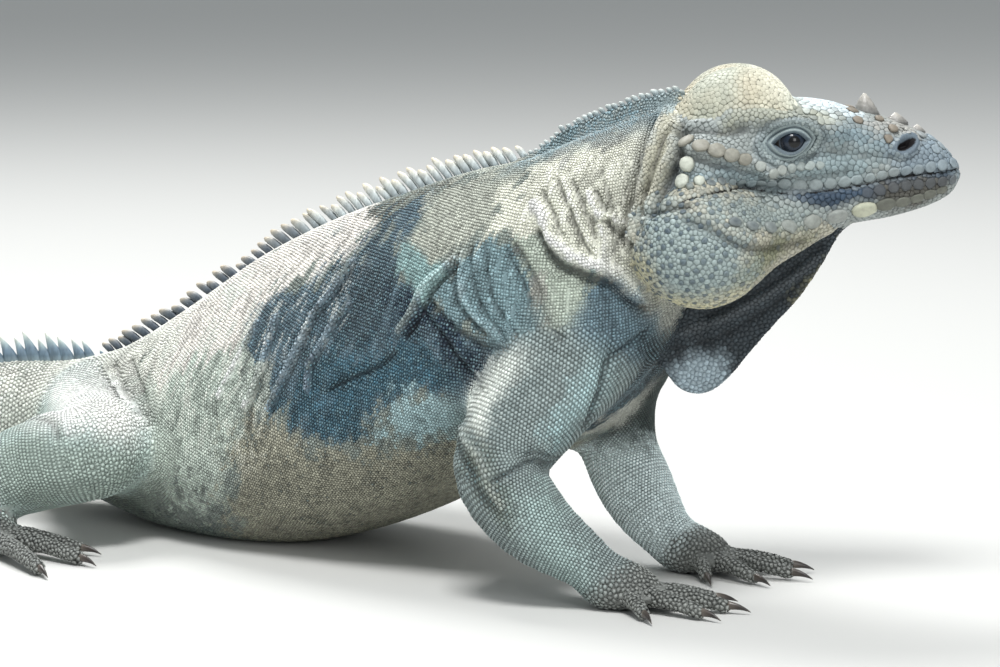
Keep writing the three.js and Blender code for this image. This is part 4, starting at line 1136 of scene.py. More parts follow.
# by owner, as the tints: how dark the flecks of single scales are
FLECKS = np.array([0.5, 0.4, 0.3, 0.2, 0.2, 0.2, 0.2, 0.2, 0.16, 0.03, 0.1, 0.25])


def right_side(points, near):
    """The same places on the animal's right."""
    across = ((points[:, :2] - spine_line[near, :2]) * spine_right[near]).sum(1)
    made = points.copy()
    made[:, :2] -= 2 * np.minimum(across, 0)[:, None] * spine_right[near]
    ahead = points[:, 0] > 66
    made[ahead] = points[ahead] * (1, 0, 1) - np.abs(points[ahead]) * (0, 1, 0)
    return made


def pigment(points, owner, near, speck):
    """The hide's colour at places on the plain flesh; speck is a number of its own for each, 0 to 1."""
    colour = np.array([linear(t) for t in TINTS])[owner]
    place = right_side(points, near)
    x, z = place[:, 0], place[:, 2]
    slanted = place * (1, 1, 0) + place[:, 2:] * (-0.45, 0, 0.22)
    streak = 0.5 * mottle(slanted, 4.5, 1) + 0.32 * mottle(slanted, 1.9, 3) + 0.18 * mottle(slanted, 0.9, 6)
    blotch = 0.65 * mottle(place, 6, 2) + 0.35 * mottle(place, 2.4, 4)
    for tint, ragged, rough, whose, outline in FIELDS:
        off = outside_of(np.array(outline, float), x, z)
        if whose[0] in BODY:
            torn, soft = (3.6 * ragged + 3) * (streak - 0.5), 2.6 if ragged < 7 else 0.9 * ragged
        else:
            torn, soft = (ragged + 1) * (blotch - 0.5), 1.3 * ragged
        cover = clamp(0.5 - (off + torn) / soft + rough * (speck - 0.5))
        stain(colour, tint, cover * np.isin(owner, whose))
    # pale and dark streaks run down the flanks; the palest, high up and at the rear, are painted sunlight
    # running on from the bright back
    drawn = place * (1, 1, 0) + place[:, 2:] * (-0.5, 0, 0.13)
    strand = 0.6 * mottle(drawn, 1.6, 12) + 0.4 * mottle(drawn, 0.8, 13)
    strand += 0.35 * (mottle(place, 9, 14) - 0.5)
    flank = np.isin(owner, (TRUNK, TAIL)) * clamp((4 - x) / 20)
    high = clamp((z - 84 - 0.35 * (x + 60)) / 22) * clamp((-50 - x) / 14)
    rear = clamp((-88 - x) / 14) * clamp((z - 30) / 30)
    stain(colour, "#cdd3cf", flank * high * np.clip((strand - 0.58) * 6, 0, 0.7))
    stain(colour, "#eff2e8", flank * rear * np.clip((strand - 0.5) * 5, 0, 0.6))
    colour *= 1 - (flank * np.clip((0.4 - strand) * 4, 0, 0.3))[:, None]
    # a speckled band runs under the crest, blue-grey at the nape and olive behind it
    under = spine_line[near, 2] - place[:, 2]
    across = np.linalg.norm(points[:, :2] - spine_line[near, :2], axis=1)
    nape = clamp((140 - near) / 12)
    low = np.where(nape > 0.5, 0.6 * under + 1, np.maximum(under * 1.3, across - 1))
    band = clamp(1.4 - low / 4.5) * np.isin(owner, BODY)
    band *= clamp((420 - near) / 60) * clamp(0.75 + 0.6 * (speck - 0.5))
    band_tint = nape[:, None] * linear(NAPE_BAND) + (1 - nape)[:, None] * linear(BACK_BAND)
    colour += (band_tint - colour) * band[:, None]
    # the lids are smooth and pale, with painted shade, blue, in a ring where they fold
    dx, dz = points[:, 0] - EYE[0], points[:, 2] - EYE[2]
    ring = np.hypot(dx / 1.45, dz - 0.1 * dx)
    lids = (np.abs(points[:, 1]) > 15) * (points[:, 0] > 80) * (owner == FACE)
    for tint, at, wide, much in LID_TINTS:
        stain(colour, tint, much * lids * np.exp(-(((ring - at) / wide) ** 4)))
    stain(colour, "#c4b79c", (owner == CROWN) * clamp(mottle(points, 9, 5) * 1.6 - 0.5) * 0.6)
    # painted highlight on the tops of folds and painted shade in their grooves; then dark flecks of single
    # scales, and fine blotches
    fold_height = creases(points)
    pale = (clamp(fold_height / 1.5) * np.where(owner > PAW, 0.25, 0.8))[:, None]
    least = np.isin(owner, BODY)[:, None] * linear("#98a5a3")
    colour += (np.clip(colour * 1.4 + 0.16, least, 0.85) - colour) * pale
    colour *= 1 - 0.6 * clamp(-fold_height / 1.8)[:, None]
    fleck = np.clip((mottle(points, 1.9, 8) - 0.5) * 2.4, -1, 1) * 0.5 + (speck - 0.5)
    front = owner <= NECK
    worn = np.where(front, 0.45, 0.22) * (blotch - 0.5) + np.where(front, 0.5, 0) * (streak - 0.5)
    pallor = np.clip(1.25 - 1.6 * colour[:, 1], 0.25, 1)
    return colour * (1 + pallor * (FLECKS[owner] * fleck * 0.9 + worn))[:, None]


speck = rng.random(len(points))
scale_colour = pigment(points, owner, near_spine, speck)
# Limbs take the body's colours over a few rows where they join it.
group = np.clip(owner - LIMB + 1, 0, 5)
joint = (group[beside] != group[:, None]).any(1) & (owner <= PAW)
for _ in range(5):
    joint = (joint | joint[beside].any(1)) & (owner <= PAW)
for _ in range(9):
    scale_colour[joint] = 0.4 * scale_colour[joint] + 0.6 * scale_colour[beside[joint]].mean(1)
scale_colour[joint] *= (0.88 + 0.24 * speck[joint])[:, None]
# colour and strength on each kind of shield, then on the big pale plate, the chin's and the nose's
SHIELD_TINTS = [("#c9ccbd", 0.8), ("#888a84", 0.55), ("#474c51", 0.7), ("#8f999b", 0.4), ("#837c6b", 0.7)]
SHIELD_TINTS += [("#9a9e95", 0.5), ("#9aa4a6", 0.3)]
for k, (tint, share) in enumerate(SHIELD_TINTS):
    stain(scale_colour, tint, share * (kind == -1 - k))
stain(scale_colour, "#b4b6a2", (kind == -2) & (np.abs(points[:, 0] - 138) < 3))
stain(scale_colour, "#66685f", (kind == -2) & (points[:, 0] > 144))
stain(scale_colour, "#81796d", (kind == -7) & (points[:, 0] < 152))
tip_colour = scale_colour.copy()
# Dark tubercles are spread evenly over the jowl and the rear of the jaw.
spotted, spot_roots = [], np.full((1, 3), 1e4)
on_jowl = (owner == FACE) & (kind == LOOSE) & (lip_height(points) < -4) & (points[:, 0] < 108)
on_jowl |= owner == JOWLS
for i in sorted(rng.permutation(np.flatnonzero(on_jowl)), key=lambda i: radius[i] < 0.95):
    apart = 3.2 + 1.6 * clamp((points[i, 0] - 84) / 20)
    if ((spot_roots - points[i]) ** 2).sum(1).min() > apart**2:
        spotted.append(i)
        spot_roots = np.vstack([spot_roots, points[i]])
strength = 0.9 * np.clip(1.25 - (points[spotted, 0] - 50) / 60, 0.35, 1)[:, None]
strength *= 0.7 + 0.3 * rng.random((len(spotted), 1))
scale_colour[spotted] += strength * (linear("#56666f") - scale_colour[spotted])
tip_colour[spotted] = scale_colour[spotted] + strength * (linear("#3b4954") - scale_colour[spotted])
tall[spotted] *= 1.7
tip_colour[(owner >= LIMB) & (owner < PAW)] *= 1.06
# In the slate fields each scale's crown takes a painted highlight, pale blue, and its rim painted shade, so
# that they glint on the dark.
bright = scale_colour @ (0.2, 0.7, 0.1)
painted_glint = clamp(1.3 - bright / 0.24) * (owner <= LIMB) * (0.1 + 0.8 * rng.random(len(points)) ** 2.2)
stain(tip_colour, "#8fb3bc", painted_glint)
scale_colour *= 1 - 0.55 * ((owner <= LIMB) * clamp(1.2 - bright / 0.24))[:, None]


# The jaw's plates and the lips' are longer than they are tall.
long = np.select([kind == -2, (kind == -3) | (kind == -4), kind == -5], [1.5, 1.15, 1.25], 1.0)


def unwrap(points, line):
    """Where places lie on the skin unrolled from round a line: the share along it and round it."""
    near = nearest(points, line)
    ahead = unit(np.gradient(line, axis=0))[near]
    off = points - line[near]
    along = run_along(line)[near] + (off * ahead).sum(1)
    side = unit(np.cross(ahead, np.where(np.abs(ahead[:, 2:]) > 0.8, (1.0, 0, 0), (0, 0, 1.0))))
    turn = np.arctan2((off * side).sum(1), (off * np.cross(ahead, side)).sum(1)) / (2 * math.pi) + 0.5
    return 0.01 + 0.98 * np.stack([(along - along.min()) / np.ptp(along), turn], -1)


PATCH = 0.0015  # how far a scale's own patch reaches in the map
SUNK = 0.12  # how far a scale's rim lies in the skin


def scales(name, these, sides, rings, line, slot, finish):
    """One mesh of closed scales, each a low dome on its cell: rings of share outwards and up, then a top."""
    these = np.flatnonzero(these)
    n, m, r = len(these), sides, len(rings)
    reach, a, across = cell_reach(placed, these, sides)
    c, s = np.cos(a)[:, None], np.sin(a)[:, None]
    ways = (lie[these] * long[these, None])[:, None] * c + across[:, None] * s
    out, up = np.array(rings).T
    spread = out[:, None, None] * (reach[:, :, None] * ways)[:, None]
    high = tall[these]
    lift = facing[these, None, None] * (up[:, None, None] * high[:, None, None, None])
    lift[:, 0] = facing[these, None] * -SUNK
    shell = placed[these, None, None] + spread + lift
    top = placed[these] + facing[these] * high[:, None] + lie[these] * (0.22 * high)[:, None]
    verts = np.concatenate([shell.reshape(n, r * m, 3), top[:, None]], 1)
    j, k = np.arange(m), (np.arange(m) + 1) % m
    quads = [np.stack([q * m + j, q * m + k, (q + 1) * m + k, (q + 1) * m + j], -1) for q in range(r - 1)]
    tops = np.stack([(r - 1) * m + j, (r - 1) * m + k, np.full(m, r * m)], -1)
    loop = np.concatenate([q.ravel() for q in quads] + [tops.ravel(), j[::-1]])
    sizes = np.concatenate([np.full(m * (r - 1), 4), np.full(m, 3), [m]])
    step = r * m + 1
    loops = (loop[None] + step * np.arange(n)[:, None]).ravel()
    sizes = np.tile(sizes, n)
    made = bpy.data.meshes.new(name)
    made.vertices.add(n * step)
    made.vertices.foreach_set("co", in_part(verts.reshape(-1, 3)).ravel())
    made.loops.add(len(loops))
    made.loops.foreach_set("vertex_index", loops.astype(np.int32))
    made.polygons.add(len(sizes))
    made.polygons.foreach_set("loop_start", np.concatenate([[0], np.cumsum(sizes)[:-1]]).astype(np.int32))
    made.update(calc_edges=True)
    made.shade_smooth()
    rise = np.concatenate([np.repeat(1 - out, m), [1.0]])
    share = clamp(rise * 1.3)[None, :, None]
    tint = scale_colour[these, None] * (1 - share) + tip_colour[these, None] * share
    put(made, "pigment", "FLOAT_COLOR", np.concatenate([tint, np.ones((n, step, 1))], -1))
    put(made, "rise", "FLOAT", np.tile(rise, n))
    put(made, "tone", "FLOAT", np.repeat(speck[these], step))
    patch = np.concatenate([np.repeat(out, m)[:, None] * PATCH * np.tile(np.c_[c, s], (r, 1)), [(0, 0)]])
    where = (unwrap(placed[these], line)[:, None] + patch[None]).reshape(-1, 2)
    bake = made.uv_layers.new(name="OFBake")
    bake.data.foreach_set("uv", where[loops].astype(np.float32).ravel())
    made.materials.append(finish)
    new_piece(name, made, slot)


def put(mesh, name, kind, values):
    field = mesh.attributes.new(name, kind, "POINT")
    flat = np.asarray(values, np.float32).ravel()
    field.data.foreach_set("color" if kind == "FLOAT_COLOR" else "value", flat)


def node(tree, kind, inputs, **settings):
    """Adds a node with its settings; each input is a value, or the output that it takes."""
    made = tree.nodes.new(kind)
    for key, value in settings.items():
        setattr(made, key, value)
    for key, value in inputs.items():
        if isinstance(value, bpy.types.NodeSocket):
            tree.links.new(value, made.inputs[key])
        else:
            made.inputs[key].default_value = value
    return made


def new_finish(name):
    made = bpy.data.materials.new(name)
    made.use_nodes = True
    made.node_tree.nodes.clear()
    return made, made.node_tree


def pigmented(name, noise, dust, relief_mm, strength, surface, drawn=(1, 1, 1), seams=None):
    """Colour under clear horn or skin. One noise, drawn out if wanted, is its dust and its relief.
    Seams are how dark a scale's edge is, how wide, and how much scales differ."""
    finish, tree = new_finish(name)
    place = node(tree, "ShaderNodeTexCoord", {}).outputs["Object"]
    place = node(tree, "ShaderNodeMapping", {"Vector": place, "Scale": drawn}).outputs[0]
    tint = node(tree, "ShaderNodeAttribute", {}, attribute_name="pigment").outputs["Color"]
    grain = node(tree, "ShaderNodeTexNoise", {"Vector": place, **noise}).outputs["Fac"]
    shade = node(tree, "ShaderNodeMapRange", {"Value": grain, 1: 0.3, 2: 0.7, 3: dust[0], 4: dust[1]})
    if seams:
        groove, edge, vary = seams
        rise = node(tree, "ShaderNodeAttribute", {}, attribute_name="rise").outputs["Fac"]
        tone = node(tree, "ShaderNodeAttribute", {}, attribute_name="tone").outputs["Fac"]
        for value, reach, low, high in ((rise, edge, groove, 1.04), (tone, 1, 1 - vary, 1 + vary)):
            by = node(tree, "ShaderNodeMapRange", {"Value": value, 1: 0.0, 2: reach, 3: low, 4: high})
            factors = {0: shade.outputs[0], 1: by.outputs[0]}
            shade = node(tree, "ShaderNodeMath", factors, operation="MULTIPLY")
        dull, gloss = min(1, surface["Roughness"] + 0.3), surface["Roughness"]
        rough = node(tree, "ShaderNodeMapRange", {"Value": rise, 1: 0.0, 2: 0.8, 3: dull, 4: gloss})
        surface = {**surface, "Roughness": rough.outputs[0]}
    colour = node(tree, "ShaderNodeVectorMath", {0: tint, "Scale": shade.outputs[0]}, operation="SCALE")
    bumps = {"Height": grain, "Distance": relief_mm / 1000, "Strength": strength}
    bump = node(tree, "ShaderNodeBump", bumps)
    looks = {"Base Color": colour.outputs[0], "Normal": bump.outputs[0], **surface}
    shader = node(tree, "ShaderNodeBsdfPrincipled", looks)
    node(tree, "ShaderNodeOutputMaterial", {"Surface": shader.outputs[0]})
    return finish


def keratin(name, groove, edge, roughness, grain_mm, relief_mm, vary=0.1):
    """Scales: matt in the seams, with a dull gloss on each one's crown."""
    noise = {"Scale": 1000 / grain_mm, "Detail": 5.0, "Roughness": 0.62}
    surface = {"Roughness": roughness, "IOR": 1.5}
    return pigmented(name, noise, (0.8, 1.17), relief_mm, 0.6, surface, seams=(groove, edge, vary))


# Body scales are thin, dusty keratin, so they are nearly matt; a head's are thicker and glossier.
body_horn = keratin("body_scale_keratin", 0.78, 0.25, 0.5, 2.2, 0.1)
limb_horn = keratin("limb_scale_keratin", 0.62, 0.22, 0.5, 2.0, 0.1)
head_horn = keratin("head_shield_keratin", 0.84, 0.12, 0.45, 2.0, 0.25, 0.04)
crown_horn = keratin("crown_pad_keratin", 0.97, 0.1, 0.46, 3.0, 0.12, 0.03)
cone, dome, cobble = [(0.99, 0)], [(0.985, 0), (0.86, 0.72)], [(0.985, 0), (0.88, 0.66), (0.6, 0.95)]
pebbles, crown_pebbles = [(1.05, 0), (0.82, 0.8)], [(1.28, 0), (0.66, 0.9)]
small = kind >= 0
station = spine_at[near_spine]
spine_rough = spine_3d[::6]
head_line = np.array([(x, 0, 158) for x in range(44, 182, 6)], float)
scales("neck_scales", owner == NECK, 6, cone, spine_rough[:32], "neck_skin", body_horn)
TRUNK_PARTS = (("shoulder", 0, 5.6), ("ribs", 5.6, 7.3), ("belly", 7.3, 9.2), ("loin", 9.2, 13))
for name, low_at, high_at in TRUNK_PARTS:
    these = (owner == TRUNK) & (station >= low_at) & (station < high_at)
    scales(name + "_scales", these, 6, cone, spine_rough, "trunk_skin", body_horn)
scales("tail_scales", owner == TAIL, 6, cone, spine_rough, "tail_skin", body_horn)
for k, (name, limb) in enumerate(LIMBS.items()):
    line = smooth(limb["path"], np.linspace(0, len(limb["path"]) - 1, 40))[:, :3]
    scales(name + "_scales", owner == LIMB + k, 6, cone, line, "limb_skin", limb_horn)
paw_line = np.array([(-230, 90, -30), (-100, 250, -30), (40, -40, -30), (110, 40, -30)], float)
paw_line = smooth(paw_line, np.linspace(0, 3, 60))
scales("paw_scales", owner == PAW, 6, cone, paw_line, "limb_skin", limb_horn)
scales("face_scales", (owner == FACE) & (kind == LOOSE), 10, pebbles, head_line, "head_skin", head_horn)
scales("face_shields", kind < 0, 16, cobble, head_line, "head_skin", head_horn)
scales("crown_scales", (owner == CROWN) & small, 10, crown_pebbles, head_line, "crown_skin", crown_horn)
scales("jowl_scales", (owner == JOWLS) & small, 8, dome, head_line, "jowl_skin", head_horn)
throat_line = head_line - (0, 0, 45)
scales("dewlap_scales", (owner == THROAT) & small, 8, dome, throat_line, "dewlap_skin", body_horn)

# The hide between the scales is soft and matt, and darker than the horn over it.
hide_owner, hide_near = flesh_owner(plain)
bare_hide = (lid_gap(plain) < 0.8) & eye_near(plain, 9)
gullet = (np.abs(lip_height(plain)) < 0.35) & mouth_near(plain, 2)
nose_hole = nose_near(plain, 6) & (nostril(plain)[1] < 1.1)
nose_ring = nose_near(plain, 7) & (nostril(plain)[0] < 1.25)
under = pigment(plain, hide_owner, hide_near, np.full(len(plain), 0.5))
under *= np.where(hide_owner > PAW, 0.86, 0.6 + 0.3 * clamp(under[:, 1] / 0.7))[:, None]
under[bare_hide] = linear("#5d6a72")
# the lids' skin is pale, with painted shade in the grooves between their folds
lids = (lid_gap(plain) >= 0.8) & (lid_ring(plain) < 8.2) & eye_near(plain, 9)
crease = np.cos((lid_ring(plain[lids]) - 5.7) * math.pi / 0.8)[:, None] * 0.5 + 0.5
under[lids] = linear("#929f9f") + (linear("#515e65") - linear("#929f9f")) * crease**1.5
under[nose_ring] = linear("#65727c")
# painted shade: the seam of the lips and the nostril's pit are dark
under[gullet] = linear("#33302f")
under[nose_hole] = linear("#1f1c1e")
put(hide, "pigment", "FLOAT_COLOR", np.c_[under, np.ones(len(under))])
pores, soft = {"Scale": 1000 / 0.5, "Detail": 2.0}, {"Roughness": 0.62, "IOR": 1.45}
hide.materials.append(pigmented("bare_hide", pores, (0.82, 1.12), 0.08, 0.5, soft))

# ---- Eyes -----------------------------------------------------------------------
# A wet ball under two lids: a clear cornea that bulges over a near-black pupil, in a
# dark iris with a thin pale rim, and a brown-grey white that hardly shows.
BALL, CORNEA, BULGE = EYE_RADIUS - 0.15, math.radians(36), 0.75
eye_finish, tree = new_finish("wet_cornea")
off_axis = node(tree, "ShaderNodeAttribute", {}, attribute_name="off_axis").outputs["Fac"]
place = node(tree, "ShaderNodeTexCoord", {}).outputs["Object"]
fibre = node(tree, "ShaderNodeTexNoise", {"Vector": place, "Scale": 1000 / 0.5, "Detail": 2.0})
uneven = {0: fibre.outputs["Fac"], 1: 0.05, 2: off_axis}
wobble = node(tree, "ShaderNodeMath", uneven, operation="MULTIPLY_ADD")
rings = node(tree, "ShaderNodeValToRGB", {"Fac": wobble.outputs[0]})
EYE_RINGS = [
    (0.0, "#030405"), (0.2, "#040507"), (0.24, "#1b2634"), (0.36, "#141d2a"), (0.5, "#0b0f16"),
    (0.56, "#4f5860"), (0.6, "#3a3532"), (1.0, "#2c2725")
]
ramp = rings.color_ramp
while len(ramp.elements) < len(EYE_RINGS):
    ramp.elements.new(0.5)
for stop, (at, tint) in zip(ramp.elements, EYE_RINGS):
    stop.position = at
    stop.color = (*linear(tint), 1)
looks = {"Base Color": rings.outputs["Color"], "Roughness": 0.25, "IOR": 1.33}
looks |= {"Coat Weight": 0.7, "Coat IOR": 1.34, "Coat Roughness": 0.02}
shader = node(tree, "ShaderNodeBsdfPrincipled", looks)
node(tree, "ShaderNodeOutputMaterial", {"Surface": shader.outputs[0]})


def closed_piece(name, verts, faces, finish, slot, *nodes):
    """A piece of closed, smooth forms with their faces turned outwards; gives its mesh."""
    made = bpy.data.meshes.new(name)
    made.from_pydata(in_part(verts).tolist(), [], faces)
    shape = bmesh.new()
    shape.from_mesh(made)
    bmesh.ops.recalc_face_normals(shape, faces=shape.faces)
    shape.to_mesh(made)
    shape.free()
    made.shade_smooth()
    made.materials.append(finish)
    new_piece(name, made, slot, *nodes)
    return made


lean = np.radians(np.concatenate([np.arange(4, 60, 4), np.arange(60, 180, 12)]))
far = BALL + BULGE * clamp(np.cos(np.minimum(lean / CORNEA, 1) * math.pi / 2))
t = np.linspace(0, 2 * math.pi, 40, endpoint=False)
for side, y in (("right", -1), ("left", 1)):
    axis = unit(np.array((0.14, y, 0.06)))
    flat = unit(np.cross(axis, (0, 0, 1.0)))
    centre = EYE * (1, y, 1)
    ring = flat * np.cos(t)[:, None] + np.cross(flat, axis) * np.sin(t)[:, None]
    middles = centre + axis * (far * np.cos(lean))[:, None]
    rows = middles[:, None] + (far * np.sin(lean))[:, None, None] * ring
    verts, quads, fans = loft(rows)
    verts[-2], verts[-1] = centre + axis * (BALL + BULGE), centre - axis * BALL
    faces = quads.tolist() + fans.tolist()
    ball = closed_piece("eyeball_" + side, verts, faces, eye_finish, "eye", "eye_" + side)
    put(ball, "off_axis", "FLOAT", np.concatenate([np.repeat(lean, len(t)), (0, math.pi)]) / (math.pi / 2))

# ---- Horns ----------------------------------------------------------------------
# Three blunt cones of solid horn stand in a row on the snout, the rear one the tallest.
# They grow from the base in low rings, rubbed pale on top and brown in the rings.
def horny(name, roughness, streak_mm):
    """Solid keratin: a satin surface with faint streaks up it."""
    noise, surface = {"Scale": 1000 / streak_mm, "Detail": 3.0}, {"Roughness": roughness, "IOR": 1.54}
    return pigmented(name, noise, (0.72, 1.18), 0.12, 0.7, surface, drawn=(1, 1, 0.35))


def join_lofts(name, lofts, tints, finish, slot, *nodes):
    """One piece of several closed lofted forms, each with its colours by ring."""
    verts, faces, colours, base = [], [], [], 0
    for rings, tint in zip(lofts, tints):
        v, quads, fans = loft(rings)
        verts.append(v)
        faces += (quads + base).tolist() + (fans + base).tolist()
        colours.append(np.concatenate([np.repeat(tint, rings.shape[1], 0), tint[:1], tint[-1:]]))
        base += len(v)
    made = closed_piece(name, np.concatenate(verts), faces, finish, slot, *nodes)
    put(made, "pigment", "FLOAT_COLOR", np.c_[np.concatenate(colours), np.ones(base)])


def blend(tints, share):
    """Colours between the named ones, by shares from 0 to 1."""
    known = np.array([linear(t) for t in tints])
    at = np.linspace(0, 1, len(tints))
    return np.stack([np.interp(share, at, c) for c in known.T], -1)


# x, radius, tall, lean back
HORNS = [(140.4, 4.7, 7.2, 0.9), (151.2, 4.1, 3.4, 0.4), (159, 2.8, 2.3, 0.3)]
t = np.linspace(0, 2 * math.pi, 20, endpoint=False)
up = np.linspace(-0.25, 1, 15)
share = clamp(up)
lofts = []
for x, wide, high, lean in HORNS:
    foot = settle([(x, 0.0, 186.0 - 0.5 * (x - 140))], 6)[0]
    girth = wide * (1 - share**1.2) ** 0.7 * (1 + 0.035 * np.sin(up * 26))
    girth[-1] = 0.12 * wide
    along, across = girth[:, None] * np.cos(t), girth[:, None] * np.sin(t)
    uneven = along * (1 + 0.06 * np.cos(3 * t + x)) - lean * share[:, None] * 1.2
    lofts.append(np.stack([foot[0] + uneven, 0.9 * across, foot[2] + up[:, None] * high - 0.12 * along], -1))
tints = [blend(("#6f6f6c", "#8f8d88", "#a3a09a", "#c8c4ba"), share)] * len(HORNS)
snout_horn = horny("snout_horn", 0.42, 1.3)
join_lofts("snout_horns", lofts, tints, snout_horn, "horn", "horn_main", "horn_middle", "horn_front")

# ---- Crest ----------------------------------------------------------------------
# Flat horny spikes stand in one row from the shoulders to the tail, rooted in the skin and
# curved back. Over the nape they are low beads. They are pale in front and slate behind.
# first station, tallest, last, spacing, height there, least height, width, thickness, lean back
CREST = [
    (0.98, 1.4, 4.25, 2.7, 2.6, 1.9, 2.9, 2.6, 0.2),
    (4.3, 5.8, 12.1, 4.9, 10.4, 5.6, 5.2, 3.0, 0.42),
    (12.3, 13.0, 20.5, 5.4, 12.0, 2.0, 8.6, 3.0, 0.16),
]
t = np.linspace(0, 2 * math.pi, 8, endpoint=False)
flat_sided = corner(np.sin(t), 1.25)
up = np.array([-0.28, 0, 0.22, 0.45, 0.66, 0.84, 0.96, 1.0])
share = clamp(up)
bead = blend(("#76858a", "#94a2a5", "#b4bebd", "#c9cec8"), share)
pale = blend(("#8b989d", "#b9c4c6", "#cbd3d2", "#d8d8cd", "#e9dcc0"), share)
dark = blend(("#3c464f", "#3f4a55", "#55606a", "#7d8182", "#cdbfa6"), share)
tail = blend(("#86969b", "#5a7080", "#74899a", "#a8babb", "#d3d5c8"), share)
lofts, tints = [], []
for row, (first, peak, last, spacing, most, least, wide, thick, lean) in enumerate(CREST):
    for run_at in np.arange(*np.interp([first, last], spine_at, spine_run), spacing):
        run_at += 0.3 * spacing * (rng.random() - 0.5)
        at = np.interp(run_at, spine_run, spine_at)
        k = int(np.clip(round(at * SPINE_STEPS), 2, len(spine_line) - 3))
        reach = spine_line[k : k + 1, 2] - spine_line[k : k + 1, 5] + 14
        foot = cast_out(spine_3d[k : k + 1], np.array([[0, 0, 1.0]]), reach, 120)[0]
        climb = (spine_line[k - 2, 2] - spine_line[k + 2, 2]) / (spine_run[k + 2] - spine_run[k - 2])
        ahead = unit(np.array([*heading[k], climb]))
        across = unit(np.cross((0, 0, 1.0), ahead))
        above = np.cross(ahead, across)
        edge = first if at < peak else last
        tall_here = least + (most - least) * max(0, (at - edge) / (peak - edge)) ** 0.4
        tall_here *= 0.72 + 0.36 * rng.random()
        pointed, blunt = (1 - share**1.3) ** 0.85, (1 - share**5) ** 0.6 * (0.82 + 0.3 * share)
        girth = pointed if row == 2 else blunt
        girth[-1] = 0.08
        w = min(wide, 1.4 + 0.55 * tall_here) * (0.88 + 0.24 * rng.random())
        tilt = lean * (0.85 + 0.4 * rng.random())
        bent = tall_here * (tilt * up + 0.22 * share**2)
        middle = foot + above * (up * tall_here)[:, None] - ahead * bent[:, None]
        middle += across * (0.06 * tall_here * (rng.random() - 0.5) * up)[:, None]
        rows = middle[:, None] + (ahead * (w / 2)) * (girth[:, None] * np.cos(t))[..., None]
        rows = rows + (across * (min(thick, w * 0.62) / 2)) * (girth[:, None] * flat_sided)[..., None]
        lofts.append(rows)
        how_dark = clamp((at - 6.9) / 1.3 + 0.7 * (rng.random() - 0.5))
        tints.append((bead, pale + (dark - pale) * how_dark, tail)[row])
join_lofts("crest_spikes", lofts, tints, horny("crest_horn", 0.45, 1.6), "horn")

# ---- Claws ----------------------------------------------------------------------
# Each digit ends in a curved, pointed claw: dark brown horn, flat at the sides, in a
# sheath of scales.
CLAW_LENGTH, CLAW_RADIUS = 9, 1.9
claw_horn = horny("claw_horn", 0.35, 1.8)
t = np.linspace(0, 2 * math.pi, 12, endpoint=False)
share = np.linspace(0, 1, 11)
q = share[:, None]
girth = CLAW_RADIUS * (1 - 0.9 * q**1.2)
flat, round_up = 0.72 * girth * np.cos(t), girth * np.sin(t) * np.where(np.sin(t) > 0, 1, 0.8)
tints = [blend(("#6c655d", "#4b443e", "#37312d", "#2b2725", "#57504a"), share)] * 5
for name in LIMBS:
    part, side = ("hand" if name.startswith("arm") else "foot"), name.split("_")[1]
    lofts = []
    for d in digit_paths(name):
        way = unit((d[2, :3] - d[1, :3]) * (1, 1, 0))
        root = d[2, :3] + way * (0.4 * d[2, 3])
        end = root + way * CLAW_LENGTH
        end[2] = 1.1
        mid = root + 0.55 * (end - root) + (0, 0, 1.3)
        line = (1 - q) ** 2 * root + 2 * q * (1 - q) * mid + q**2 * end
        across = np.array((-way[1], way[0], 0))
        lofts.append(line[:, None] + across * flat[..., None] + np.array((0, 0, 1.0)) * round_up[..., None])
    nodes = ["claw_%s_%s_%d" % (part, side, k) for k in range(1, 6)]
    join_lofts("claws_" + part + "_" + side, lofts, tints, claw_horn, "claw", *nodes)

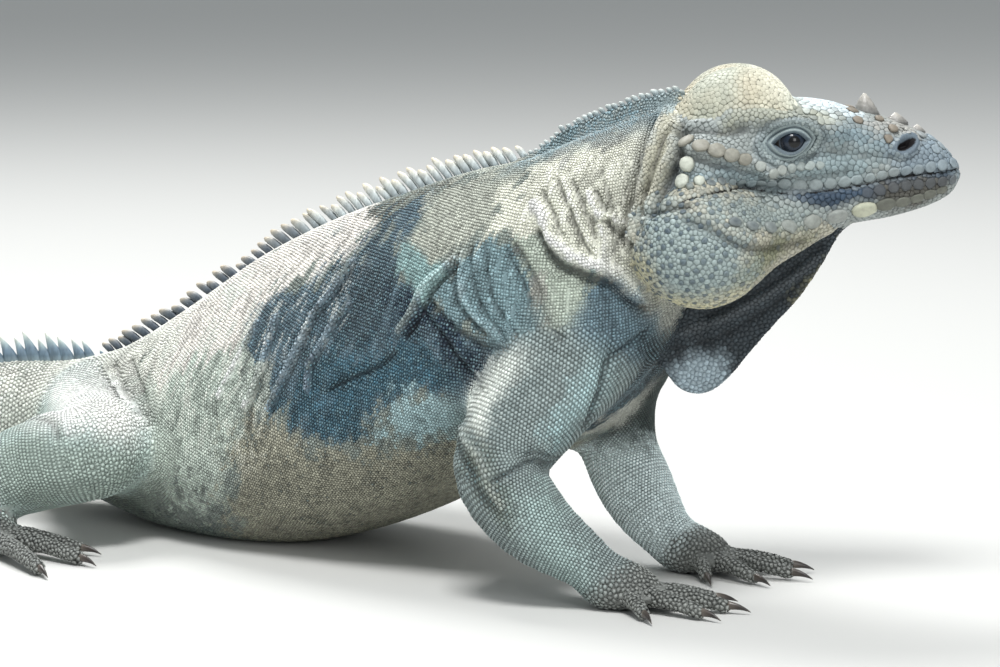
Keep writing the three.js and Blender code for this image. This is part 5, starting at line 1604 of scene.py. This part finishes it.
# ---- Floor, lights and camera -------------------------------------------------
# A pale paper floor under three soft lamps: a key above and in front, a weak fill low on
# the right, and a rim behind. The camera stands off to the animal's right, a little above it.
floor_mesh = bpy.data.meshes.new("floor")
floor_mesh.from_pydata([(-6, -6, 0), (6, -6, 0), (6, 6, 0), (-6, 6, 0)], [], [(0, 1, 2, 3)])
floor = bpy.data.objects.new("floor", floor_mesh)
bpy.context.collection.objects.link(floor)
floor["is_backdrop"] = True
paper, tree = new_finish("floor_paper")
shader = node(tree, "ShaderNodeBsdfPrincipled", {"Base Color": (0.62, 0.62, 0.6, 1), "Roughness": 0.9})
node(tree, "ShaderNodeOutputMaterial", {"Surface": shader.outputs[0]})
floor_mesh.materials.append(paper)

target = Vector(in_part((0, 0, 100)).tolist())
CAMERA_OFF, CAMERA_LENS, SLOPE = 1.7, 159.12, math.radians(7.5)
camera = bpy.data.objects.new("camera", bpy.data.cameras.new("camera"))
camera.location = target + CAMERA_OFF * Vector((0, -math.cos(SLOPE), math.sin(SLOPE)))
camera.rotation_euler = (math.pi / 2 - SLOPE, 0, 0)
camera.data.lens, camera.data.sensor_width = CAMERA_LENS, 36
bpy.context.collection.objects.link(camera)
bpy.context.scene.camera = camera
# name, place from the animal's middle, size in metres, power in watts
LIGHTS = [("key", (-0.1, -0.85, 2.0), 0.7, 42), ("fill", (0.9, -2.1, 0.9), 0.9, 14)]
LIGHTS += [("rim", (-0.5, 1.2, 1.7), 0.8, 34)]
for name, place, size, power in LIGHTS:
    light = bpy.data.lights.new(name, "AREA")
    light.energy, light.size = power, size
    lamp = bpy.data.objects.new(name, light)
    lamp.location = target + Vector(place)
    lamp.rotation_euler = (target - lamp.location).to_track_quat("-Z", "Y").to_euler()
    bpy.context.collection.objects.link(lamp)
world = bpy.data.worlds.new("studio")
world.use_nodes = True
world.node_tree.nodes["Background"].inputs["Color"].default_value = (0.9, 0.96, 1, 1)
world.node_tree.nodes["Background"].inputs["Strength"].default_value = 0.42
bpy.context.scene.world = world
bpy.context.scene.view_settings.view_transform = "Standard"

low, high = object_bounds()
{"cad": [list(c) for c in cad_box], "visual": [list(low), list(high)]}
